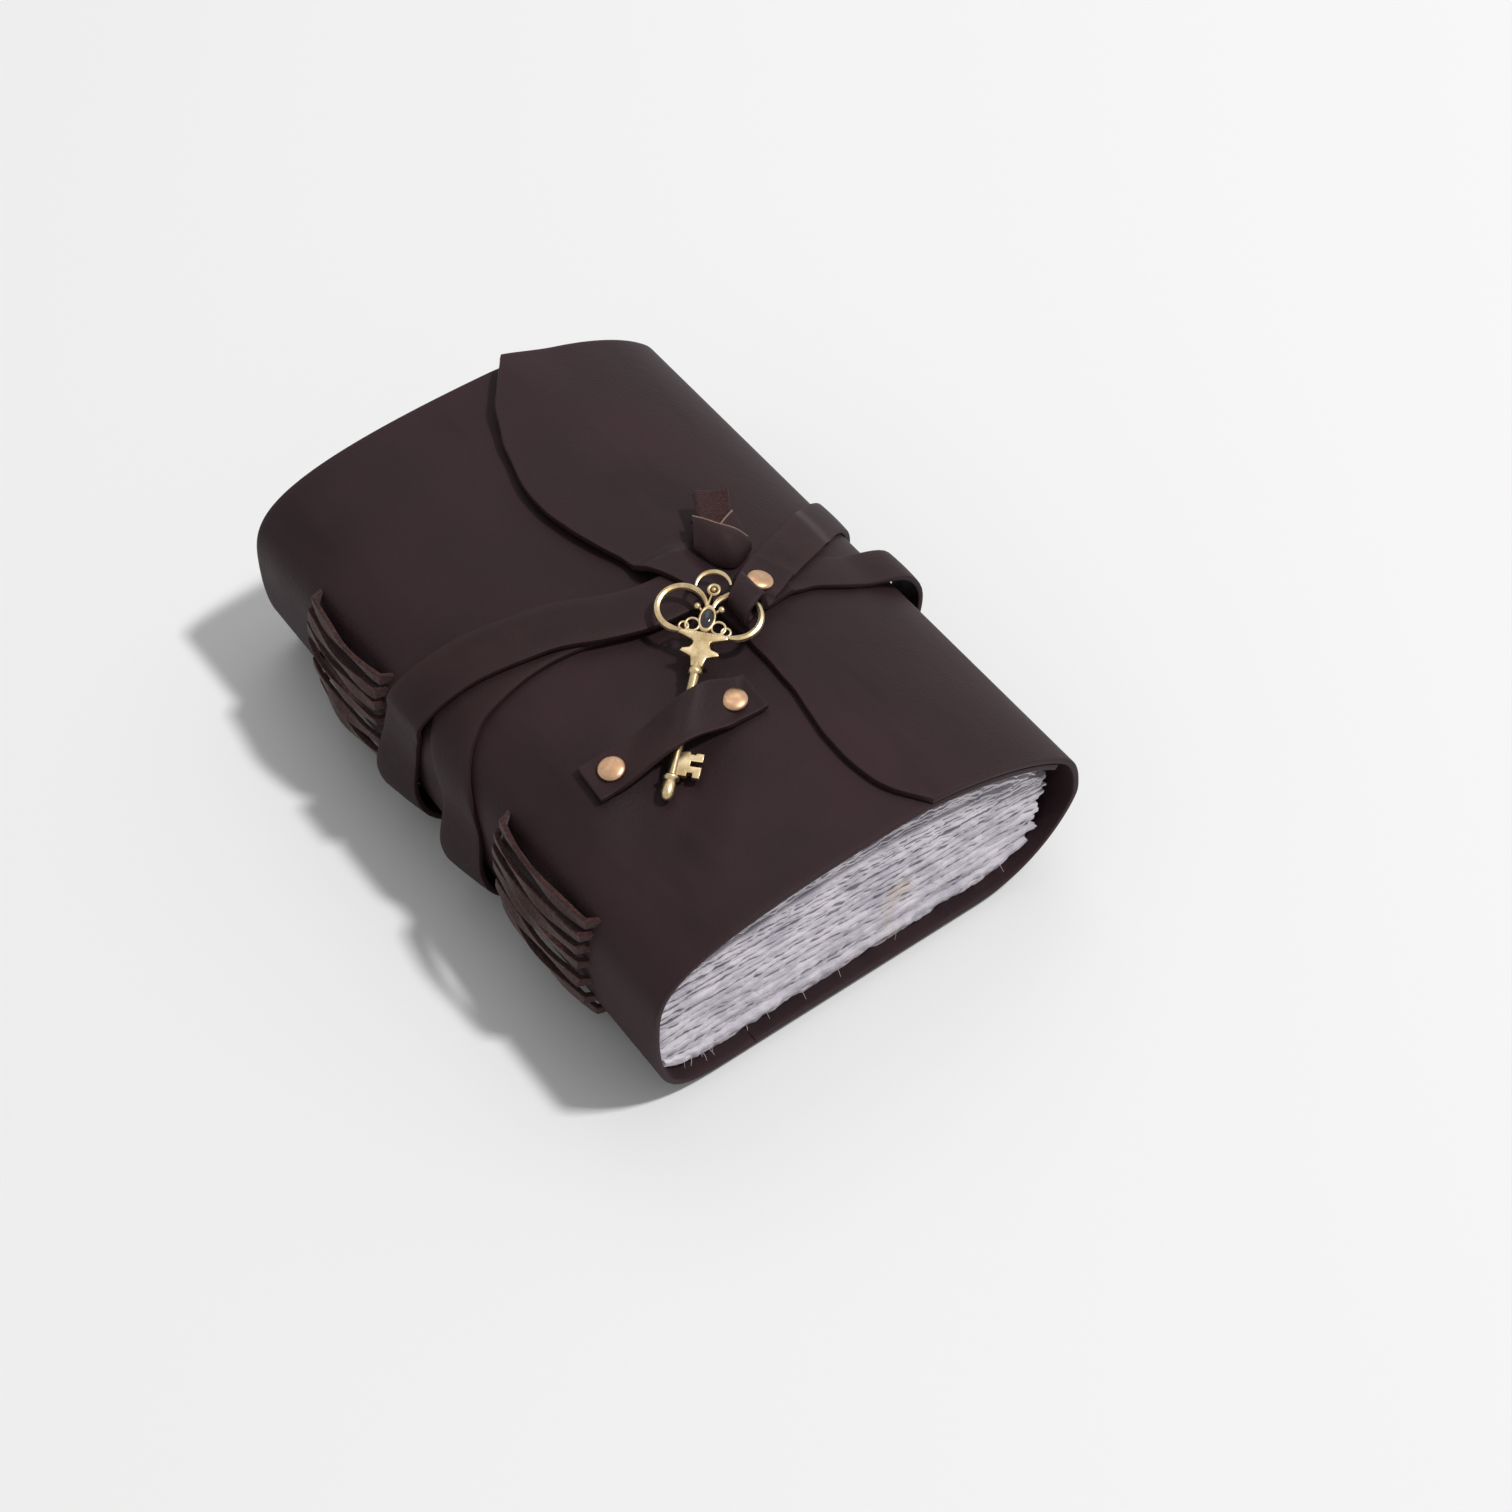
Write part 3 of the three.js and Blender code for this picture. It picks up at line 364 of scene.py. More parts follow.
def apply_modifier(piece: bpy.types.Object, kind: str, **settings: object) -> None:
    """Adds a modifier to a piece, sets it and applies it.

    Args:
        piece: The piece to change.
        kind: Blender's name for the modifier.
        **settings: Values of the modifier's own properties.
    """
    make_active(piece)
    modifier = piece.modifiers.new(kind.title(), kind)
    for name, value in settings.items():
        setattr(modifier, name, value)
    bpy.ops.object.modifier_apply(modifier=modifier.name)


def smooth(piece: bpy.types.Object, degrees: float = 40) -> bpy.types.Object:
    """Shades a piece smooth, except over sharp edges.

    Args:
        piece: The piece to shade.
        degrees: Angle from which an edge is sharp.

    Returns:
        The same piece.
    """
    make_active(piece)
    bpy.ops.object.shade_smooth_by_angle(angle=math.radians(degrees))
    return piece


def join(name: str, pieces: list) -> bpy.types.Object:
    """Joins pieces into one.

    Args:
        name: Its name.
        pieces: The pieces, the first of which takes in the others.

    Returns:
        The joined piece.
    """
    deselect_all()
    for piece in pieces:
        piece.select_set(True)
    bpy.context.view_layer.objects.active = pieces[0]
    if len(pieces) > 1:
        bpy.ops.object.join()
    pieces[0].name = name
    pieces[0].data.name = name
    return pieces[0]


def paint(piece: bpy.types.Object, *materials: bpy.types.Material) -> bpy.types.Object:
    """Gives a piece its materials.

    Args:
        piece: The piece to dress.
        *materials: One for each slot, in order.

    Returns:
        The same piece.
    """
    piece.data.materials.clear()
    for material in materials:
        piece.data.materials.append(material)
    return piece


def grid(name: str, columns: int, rows: int, place: Place) -> bpy.types.Object:
    """Adds a grid and puts each of its points where a rule says.

    Args:
        name: The piece's name.
        columns: Faces along u.
        rows: Faces along v.
        place: Gives points in millimetres for u and v from 0 to 1 and a height over the face.

    Returns:
        The open sheet, with its faces turned to the side of growing height.
    """
    deselect_all()
    bpy.ops.mesh.primitive_grid_add(x_subdivisions=columns, y_subdivisions=rows, size=1)
    piece = bpy.context.object
    piece.name = name
    piece.data.name = name
    mesh = piece.data
    flat = np.empty(3 * len(mesh.vertices))
    mesh.vertices.foreach_get("co", flat)
    u, v = flat[0::3] + 0.5, flat[1::3] + 0.5
    points = place(u, v, 0.0)
    mesh.vertices.foreach_set("co", (points * MM).ravel())
    mesh.update()
    middle = mesh.polygons[len(mesh.polygons) // 2]
    corner = middle.vertices[0]
    outward = place(u[corner:corner + 1], v[corner:corner + 1], 1.0)[0] - points[corner]
    if np.dot(outward, middle.normal) < 0:
        mesh.flip_normals()
    rim = np.minimum.reduce([u * columns, (1 - u) * columns, v * rows, (1 - v) * rows])
    layer = mesh.attributes.new("rim", "FLOAT", "POINT")
    layer.data.foreach_set("value", np.clip(rim / 3, 0, 1).astype(np.float32))
    return piece


def hide(name: str, columns: int, rows: int, place: Place, thickness: float,
         rounding: float = 0.3) -> bpy.types.Object:
    """Makes a sheet of hide: a grid with a thickness below its face and rounded edges.

    Args:
        name: The piece's name.
        columns: Faces along u.
        rows: Faces along v.
        place: As for grid, for the outer face.
        thickness: In millimetres, downwards from the outer face.
        rounding: How far the cut edges are rounded, in millimetres.

    Returns:
        The closed sheet. Material slot 0 is its outer face, 1 its under face, 2 its cut edge.
    """
    piece = grid(name, columns, rows, place)
    for _ in range(3):
        piece.data.materials.append(None)
    apply_modifier(piece, "SOLIDIFY", thickness=thickness * MM, offset=-1.0, use_even_offset=True,
                   material_offset=1, material_offset_rim=2)
    if rounding > 0:
        apply_modifier(piece, "BEVEL", width=rounding * MM, segments=2, limit_method="ANGLE",
                       angle_limit=math.radians(55))
    return smooth(piece)


def turned(name: str, profile: list, sides: int) -> bpy.types.Object:
    """Turns a piece on the Z axis, ring by ring, from its lowest point up.

    Args:
        name: The piece's name.
        profile: Radius and height of each ring, in millimetres. A first or last radius of 0
            closes the end to a point.
        sides: Faces round the axis.

    Returns:
        The turned piece, closed at both ends.
    """
    deselect_all()
    (first, low), *rest = profile
    start = max(first, CLOSED_END)
    bpy.ops.mesh.primitive_circle_add(vertices=sides, radius=start * MM, fill_type="NGON",
                                      location=(0, 0, low * MM))
    piece = bpy.context.object
    piece.name = name
    bpy.ops.object.transform_apply(location=True, rotation=True, scale=True)
    bpy.ops.object.mode_set(mode="EDIT")
    bpy.ops.mesh.select_all(action="SELECT")
    radius, height = start, low
    for wide, up in rest:
        wide = max(wide, CLOSED_END)
        bpy.ops.mesh.extrude_region_move(TRANSFORM_OT_translate={"value": (0, 0, (up - height) * MM)})
        bpy.ops.transform.resize(value=(wide / radius, wide / radius, 1), center_override=(0, 0, up * MM))
        radius, height = wide, up
    bpy.ops.mesh.select_all(action="SELECT")
    bpy.ops.mesh.normals_make_consistent(inside=False)
    bpy.ops.object.mode_set(mode="OBJECT")
    return piece


def cut_plate(name: str, outlines: list, thickness: float, bevel: float) -> bpy.types.Object:
    """Cuts a plate from closed outlines, the inner ones being openings.

    Args:
        name: The piece's name.
        outlines: Lists of x and y, in millimetres.
        thickness: In millimetres, half above and half below the XY plane.
        bevel: Width of the rounded edge, in millimetres.

    Returns:
        The plate as a mesh.
    """
    deselect_all()
    curve = bpy.data.curves.new(name, "CURVE")
    curve.dimensions = "2D"
    curve.fill_mode = "BOTH"
    curve.extrude = (thickness / 2 - bevel) * MM
    curve.bevel_depth = bevel * MM
    curve.bevel_resolution = 2
    for outline in outlines:
        spline = curve.splines.new("POLY")
        spline.points.add(len(outline) - 1)
        for point, (x, y) in zip(spline.points, outline):
            point.co = (x * MM, y * MM, 0, 1)
        spline.use_cyclic_u = True
    piece = bpy.data.objects.new(name, curve)
    bpy.context.scene.collection.objects.link(piece)
    make_active(piece)
    bpy.ops.object.convert(target="MESH")
    piece = bpy.context.object
    bpy.ops.object.mode_set(mode="EDIT")
    bpy.ops.mesh.select_all(action="SELECT")
    bpy.ops.mesh.remove_doubles(threshold=1e-6)
    bpy.ops.mesh.normals_make_consistent(inside=False)
    bpy.ops.object.mode_set(mode="OBJECT")
    return piece


def wire(name: str, path: np.ndarray, radius: np.ndarray, sides: int) -> bpy.types.Object:
    """Sweeps a round section along a path, with its ends closed.

    Args:
        name: The piece's name.
        path: Points in millimetres.
        radius: One radius for each point, in millimetres.
        sides: Faces round the path.

    Returns:
        The tube.
    """
    curve = bpy.data.curves.new(name, "CURVE")
    curve.dimensions = "3D"
    curve.bevel_depth = MM
    curve.bevel_resolution = max(0, sides // 4 - 1)
    curve.use_fill_caps = True
    spline = curve.splines.new("POLY")
    spline.points.add(len(path) - 1)
    for point, place, r in zip(spline.points, path, radius):
        point.co = (*(place * MM), 1)
        point.radius = float(r)
    piece = bpy.data.objects.new(name, curve)
    bpy.context.scene.collection.objects.link(piece)
    make_active(piece)
    bpy.ops.object.convert(target="MESH")
    return bpy.context.object


def set_down(piece: bpy.types.Object, place: Matrix) -> bpy.types.Object:
    """Moves a piece's mesh to its place, with its object left at the origin.

    Args:
        piece: The piece to move.
        place: Its turn and place, in metres.

    Returns:
        The same piece.
    """
    piece.data.transform(place)
    piece.data.update()
    return piece


# Materials


def linear(code: str) -> tuple[float, float, float, float]:
    """Turns a colour written as sRGB hex into the linear values that shaders take."""
    values = [int(code[i:i + 2], 16) / 255 for i in (1, 3, 5)]
    return (*[v / 12.92 if v <= 0.04045 else ((v + 0.055) / 1.055) ** 2.4 for v in values], 1.0)


def add_node(tree: bpy.types.NodeTree, kind: str, settings: dict | None = None,
             inputs: dict | None = None) -> bpy.types.Node:
    """Adds a node with its settings and its inputs.

    Args:
        tree: The node tree.
        kind: Blender's name for the node.
        settings: Values of the node's own properties.
        inputs: For each socket name or number, a value or an output socket to link.

    Returns:
        The node.
    """
    made = tree.nodes.new(kind)
    for name, value in (settings or {}).items():
        setattr(made, name, value)
    for name, value in (inputs or {}).items():
        socket = made.inputs[name]
        if isinstance(value, bpy.types.NodeSocket):
            tree.links.new(value, socket)
        else:
            socket.default_value = value
    return made


def per_metre(millimetres: float) -> float:
    """Gives a pattern's scale on Object coordinates from the real size of one repeat."""
    return 1 / (millimetres * MM)


def start_material(name: str) -> tuple[bpy.types.Material, bpy.types.NodeTree, bpy.types.Node]:
    """Makes a material with a shader and an output.

    Args:
        name: The material's name.

    Returns:
        The material, its node tree and its Principled shader.
    """
    material = bpy.data.materials.new(name)
    material.use_nodes = True
    tree = material.node_tree
    tree.nodes.clear()
    shader = add_node(tree, "ShaderNodeBsdfPrincipled")
    add_node(tree, "ShaderNodeOutputMaterial", inputs={"Surface": shader.outputs["BSDF"]})
    return material, tree, shader


def mix_colour(tree: bpy.types.NodeTree, factor: object, a: object,
               b: object) -> bpy.types.NodeSocket:
    """Mixes two colours by a factor and gives the result's socket."""
    mixed = add_node(tree, "ShaderNodeMix", {"data_type": "RGBA"}, {0: factor, 6: a, 7: b})
    return mixed.outputs[2]


def spread(tree: bpy.types.NodeTree, value: bpy.types.NodeSocket, low: float, high: float,
           to_low: float = 0.0, to_high: float = 1.0) -> bpy.types.NodeSocket:
    """Stretches a value from one range to another, clamped.

    Args:
        tree: The node tree.
        value: The value's socket.
        low: Start of the range that it comes from.
        high: End of that range.
        to_low: Start of the range that it goes to.
        to_high: End of that range.

    Returns:
        The result's socket.
    """
    ranged = add_node(tree, "ShaderNodeMapRange", {"interpolation_type": "SMOOTHSTEP"}, {
        "Value": value, "From Min": low, "From Max": high, "To Min": to_low, "To Max": to_high})
    return ranged.outputs["Result"]


def texture(tree: bpy.types.NodeTree, kind: str, repeat: float, settings: dict | None = None,
            stretch: tuple = (1, 1, 1), **inputs: float) -> bpy.types.NodeSocket:
    """Adds a pattern on Object coordinates and gives its value.

    Args:
        tree: The node tree.
        kind: Blender's name for the texture node.
        repeat: Real size of one repeat, in millimetres.
        settings: The node's own properties.
        stretch: How much finer the pattern is along each axis.
        **inputs: Values of the node's sockets.

    Returns:
        The output socket that holds the pattern.
    """
    place = add_node(tree, "ShaderNodeTexCoord")
    mapping = add_node(tree, "ShaderNodeMapping", inputs={
        "Vector": place.outputs["Object"], "Scale": stretch})
    made = add_node(tree, kind, settings, {
        "Vector": mapping.outputs["Vector"], "Scale": per_metre(repeat)})
    for name, value in inputs.items():
        made.inputs[name.replace("_", " ")].default_value = value
    return made.outputs["Distance"] if "Distance" in made.outputs else made.outputs[0]


def bump(tree: bpy.types.NodeTree, height: bpy.types.NodeSocket, millimetres: float,
         strength: float = 1.0, below: bpy.types.NodeSocket | None = None) -> bpy.types.NodeSocket:
    """Turns a height from 0 to 1 into a shading normal.

    Args:
        tree: The node tree.
        height: The pattern that gives the height.
        millimetres: How far the surface rises from 0 to 1.
        strength: Share of the effect that is kept.
        below: A normal that this one is laid over.

    Returns:
        The normal's socket.
    """
    inputs = {"Height": height, "Distance": millimetres * MM, "Strength": strength}
    if below is not None:
        inputs["Normal"] = below
    return add_node(tree, "ShaderNodeBump", inputs=inputs).outputs["Normal"]


@dataclass(frozen=True)
class GrainLeather:
    """Oil-tanned cowhide, grain side out.

    Wax gives it a low satin sheen, and where it is pulled or rubbed the oil moves and leaves
    paler, cloudy patches. Sizes of the pattern are in millimetres.
    """

    name: str
    colour: str = "#2a1c1f"
    pulled: str = "#342427"
    deep: str = "#1f1417"
    pore: float = 0.9
    crease: float = 5.0
    streak: float = 26.0
    cloud: float = 42.0
    roughness: tuple = (0.52, 0.66)

    def make(self) -> bpy.types.Material:
        """Builds the material.

        Returns:
            The material.
        """
        material, tree, shader = start_material(self.name)
        clouds = texture(tree, "ShaderNodeTexNoise", self.cloud, Detail=5.0, Roughness=0.55)
        cloudy = spread(tree, clouds, 0.36, 0.68)
        base = mix_colour(tree, cloudy, linear(self.colour), linear(self.pulled))
        streaks = texture(tree, "ShaderNodeTexNoise", self.streak, stretch=(1, 0.25, 1),
                          Detail=3.0, Roughness=0.6)
        base = mix_colour(tree, spread(tree, streaks, 0.52, 0.72, 0, 0.55), base, linear(self.deep))
        rim = add_node(tree, "ShaderNodeAttribute", {"attribute_name": "rim"})
        worn = spread(tree, rim.outputs["Fac"], 0.0, 0.7, 0.55, 0.0)
        base = mix_colour(tree, worn, base, linear(self.pulled))
        grain = texture(tree, "ShaderNodeTexVoronoi", self.pore, {"feature": "SMOOTH_F1"},
                        Smoothness=0.6)
        creases = texture(tree, "ShaderNodeTexNoise", self.crease, Detail=6.0, Roughness=0.62)
        normal = bump(tree, creases, 0.25, 0.5)
        normal = bump(tree, grain, 0.1, 0.55, normal)
        tree.links.new(base, shader.inputs["Base Color"])
        tree.links.new(normal, shader.inputs["Normal"])
        tree.links.new(spread(tree, clouds, 0.35, 0.7, *self.roughness), shader.inputs["Roughness"])
        shader.inputs["Specular IOR Level"].default_value = 0.13
        return material


@dataclass(frozen=True)
class FleshLeather:
    """The unfinished side or cut edge of the same hide: reddish brown fibres with no shine.

    Sizes of the pattern are in millimetres.
    """

    name: str
    colour: str = "#4a2725"
    fibre: str = "#6d3f38"
    strand: float = 1.1
    oiled: str = "#2f1716"
    patch: float = 11.0

    def make(self) -> bpy.types.Material:
        """Builds the material.

        Returns:
            The material.
        """
        material, tree, shader = start_material(self.name)
        nap = texture(tree, "ShaderNodeTexNoise", self.strand, Detail=4.0, Roughness=0.7)
        patch = texture(tree, "ShaderNodeTexNoise", self.patch, Detail=3.0)
        raised = spread(tree, nap, 0.42, 0.72)
        base = mix_colour(tree, raised, linear(self.colour), linear(self.fibre))
        base = mix_colour(tree, spread(tree, patch, 0.5, 0.75, 0, 0.6), base, linear(self.oiled))
        tree.links.new(base, shader.inputs["Base Color"])
        tree.links.new(bump(tree, nap, 0.3, 0.8), shader.inputs["Normal"])
        shader.inputs["Roughness"].default_value = 0.92
        shader.inputs["Specular IOR Level"].default_value = 0.2
        shader.inputs["Sheen Weight"].default_value = 0.2
        shader.inputs["Sheen Roughness"].default_value = 0.5
        return material


@dataclass(frozen=True)
class RagPaper:
    """Handmade cotton rag paper, pulled on a mould and left untrimmed.

    It is uneven, fibrous and quite matte, cool white with a few warm specks. Sizes of the
    pattern are in millimetres.
    """

    name: str
    colour: str = "#d9d4da"
    shade: str = "#bdb8c1"
    hollow: str = "#a8a3ad"
    stain: str = "#c9b8a2"
    speck: str = "#6a5a55"
    lump: float = 9.0
    fibre: float = 2.6
    blot: float = 24.0
    speck_apart: float = 13.0

    def make(self) -> bpy.types.Material:
        """Builds the material.

        Returns:
            The material.
        """
        material, tree, shader = start_material(self.name)
        pulp = texture(tree, "ShaderNodeTexNoise", self.lump, Detail=6.0, Roughness=0.65)
        fibres = texture(tree, "ShaderNodeTexNoise", self.fibre, stretch=(0.22, 1, 2.4),
                         Detail=4.0, Roughness=0.7)
        marks = texture(tree, "ShaderNodeTexNoise", self.blot, Detail=2.0, Roughness=0.4)
        specks = texture(tree, "ShaderNodeTexVoronoi", self.speck_apart)
        uneven = spread(tree, pulp, 0.4, 0.66)
        base = mix_colour(tree, uneven, linear(self.colour), linear(self.shade))
        for share, colour in ((spread(tree, fibres, 0.55, 0.75, 0, 0.5), self.hollow),
                              (spread(tree, marks, 0.66, 0.74, 0, 0.45), self.stain),
                              (spread(tree, specks, 0.02, 0.035, 0.7, 0), self.speck)):
            base = mix_colour(tree, share, base, linear(colour))
        tree.links.new(base, shader.inputs["Base Color"])
        normal = bump(tree, pulp, 0.5, 0.5)
        tree.links.new(bump(tree, fibres, 0.35, 0.8, normal), shader.inputs["Normal"])
        shader.inputs["Roughness"].default_value = 0.95
        shader.inputs["Specular IOR Level"].default_value = 0.15
        shader.inputs["Subsurface Weight"].default_value = 0.12
        shader.inputs["Subsurface Radius"].default_value = (0.0012, 0.0011, 0.001)
        return material


@dataclass(frozen=True)
class PlatedMetal:
    """Plated or cast metal with hand wear: bright on the high spots, brown in the hollows."""

    name: str
    bright: str
    worn: str
    hollow: str
    roughness: tuple
    pit: float = 1.4

    def make(self) -> bpy.types.Material:
        """Builds the material.

        Returns:
            The material.
        """
        material, tree, shader = start_material(self.name)
        wear = texture(tree, "ShaderNodeTexNoise", self.pit * 3, Detail=4.0, Roughness=0.6)
        pits = texture(tree, "ShaderNodeTexNoise", self.pit, Detail=3.0, Roughness=0.6)
        shape = add_node(tree, "ShaderNodeNewGeometry")
        rubbed = spread(tree, wear, 0.38, 0.66)
        base = mix_colour(tree, rubbed, linear(self.bright), linear(self.worn))
        hollow = spread(tree, shape.outputs["Pointiness"], 0.42, 0.5, 0.85, 0.0)
        base = mix_colour(tree, hollow, base, linear(self.hollow))
        tree.links.new(base, shader.inputs["Base Color"])
        tree.links.new(bump(tree, pits, 0.05, 0.5), shader.inputs["Normal"])
        tree.links.new(spread(tree, wear, 0.35, 0.7, *self.roughness), shader.inputs["Roughness"])
        shader.inputs["Metallic"].default_value = 1.0
        return material


@dataclass(frozen=True)
class PolishedStone:
    """A black cabochon, ground and polished to a glassy dome."""

    name: str
    colour: str = "#060507"
    cloudy: str = "#16131a"
    cloud: float = 2.0

    def make(self) -> bpy.types.Material:
        """Builds the material.

        Returns:
            The material.
        """
        material, tree, shader = start_material(self.name)
        cloud = spread(tree, texture(tree, "ShaderNodeTexNoise", self.cloud, Detail=3.0), 0.4, 0.7)
        base = mix_colour(tree, cloud, linear(self.colour), linear(self.cloudy))
        tree.links.new(base, shader.inputs["Base Color"])
        shader.inputs["Roughness"].default_value = 0.08
        shader.inputs["IOR"].default_value = 1.6
        return material


@dataclass
class Finishes:
    """Every material of the notebook, made once."""

    grain: bpy.types.Material = field(init=False)
    strap: bpy.types.Material = field(init=False)
    flesh: bpy.types.Material = field(init=False)
    edge: bpy.types.Material = field(init=False)
    # The knot flaps' paler cut edge, a painted highlight.
    rim: bpy.types.Material = field(init=False)
    tail: bpy.types.Material = field(init=False)
    thong: bpy.types.Material = field(init=False)
    paper: bpy.types.Material = field(init=False)
    copper: bpy.types.Material = field(init=False)
    brass: bpy.types.Material = field(init=False)
    stone: bpy.types.Material = field(init=False)

    def __post_init__(self) -> None:
        """Makes the materials."""
        self.grain = GrainLeather("waxed_cowhide_grain").make()
        self.strap = GrainLeather("waxed_cowhide_strap", "#291b1d", "#342426", "#1e1316",
                                  cloud=26.0).make()
        self.flesh = FleshLeather("cowhide_flesh_side").make()
        self.edge = FleshLeather("cowhide_cut_edge", "#3f1f1e", "#663834", 0.7).make()
        # Paler cut edge for the knot's flaps: a painted highlight where their upturned edges catch the light.
        self.rim = FleshLeather("cowhide_burnished_edge", "#7d6559", "#94796c", 0.7).make()
        self.tail = FleshLeather("cowhide_oiled_flesh", "#2b1517", "#4a2725", 0.7).make()
        self.thong = FleshLeather("cowhide_split_thong", "#321c1b", "#573431", 0.9).make()
        self.paper = RagPaper("handmade_rag_paper").make()
        self.copper = PlatedMetal("copper_plated_rivet", "#cfa888", "#b08a6c", "#6b4330",
                                  (0.28, 0.42)).make()
        self.brass = PlatedMetal("antique_cast_brass", "#cdb892", "#a38c66", "#2a2018",
                                 (0.28, 0.44)).make()
        self.stone = PolishedStone("polished_black_stone").make()


# Cover


@dataclass
class Key:
    """Place of the key on the front cover, in millimetres, and the sizes of its parts.

    The key's own axes are u, from the tip to the bow, v, to the left of it, and w, up.
    """

    tip: tuple = (-34.0, -51.2)
    turn: float = 42.4
    pitch: float = 12.0
    tip_ball: float = 2.2
    shaft: float = 1.8
    bow: float = 52.4
    ring: float = 6.2
    wire: float = 0.95
    ring_spread: float = 6.85
    plate: float = 1.7
    gem_u: float = 50.3
    gem: tuple = (6.0, 3.4)

    def __post_init__(self) -> None:
        """Works out the key's axis."""
        self.cos, self.sin = math.cos(math.radians(self.turn)), math.sin(math.radians(self.turn))
        self.rise = math.tan(math.radians(self.pitch))
        surface, _ = book.surface(book.top_arc(np.array([self.tip[0]])))
        self.tip_z = float(surface[0, 1]) - book.key_dent + book.gap + self.tip_ball

    def height(self, u: np.ndarray) -> np.ndarray:
        """Gives the height of the axis over the floor."""
        return self.tip_z + (u - self.tip_ball) * self.rise

    def along(self, x: np.ndarray, y: np.ndarray) -> tuple[np.ndarray, np.ndarray]:
        """Gives, for plan points, the distance along the key and the distance from it."""
        dx, dy = x - self.tip[0], y - self.tip[1]
        return self.tip_ball + dx * self.cos + dy * self.sin, np.abs(dx * self.sin - dy * self.cos)

    def plan(self, u: float, v: float) -> tuple[float, float]:
        """Gives the plan point of a place on the key."""
        run = (u - self.tip_ball) * math.cos(math.radians(self.pitch))
        return (self.tip[0] + run * self.cos - v * self.sin, self.tip[1] + run * self.sin + v * self.cos)

    def matrix(self) -> Matrix:
        """Works out where the key lies.

        Returns:
            The turn and place that take the key's own axes to the book, in metres.
        """
        x = Vector((self.cos, self.sin, self.rise)).normalized()
        y = Vector((-self.sin, self.cos, 0))
        z = x.cross(y)
        turn = Matrix((x, y, z)).transposed().to_4x4()
        start = Vector((self.tip[0] + book.shift, self.tip[1], self.tip_z)) - x * self.tip_ball
        return Matrix.Translation(start * MM) @ turn


key = Key()


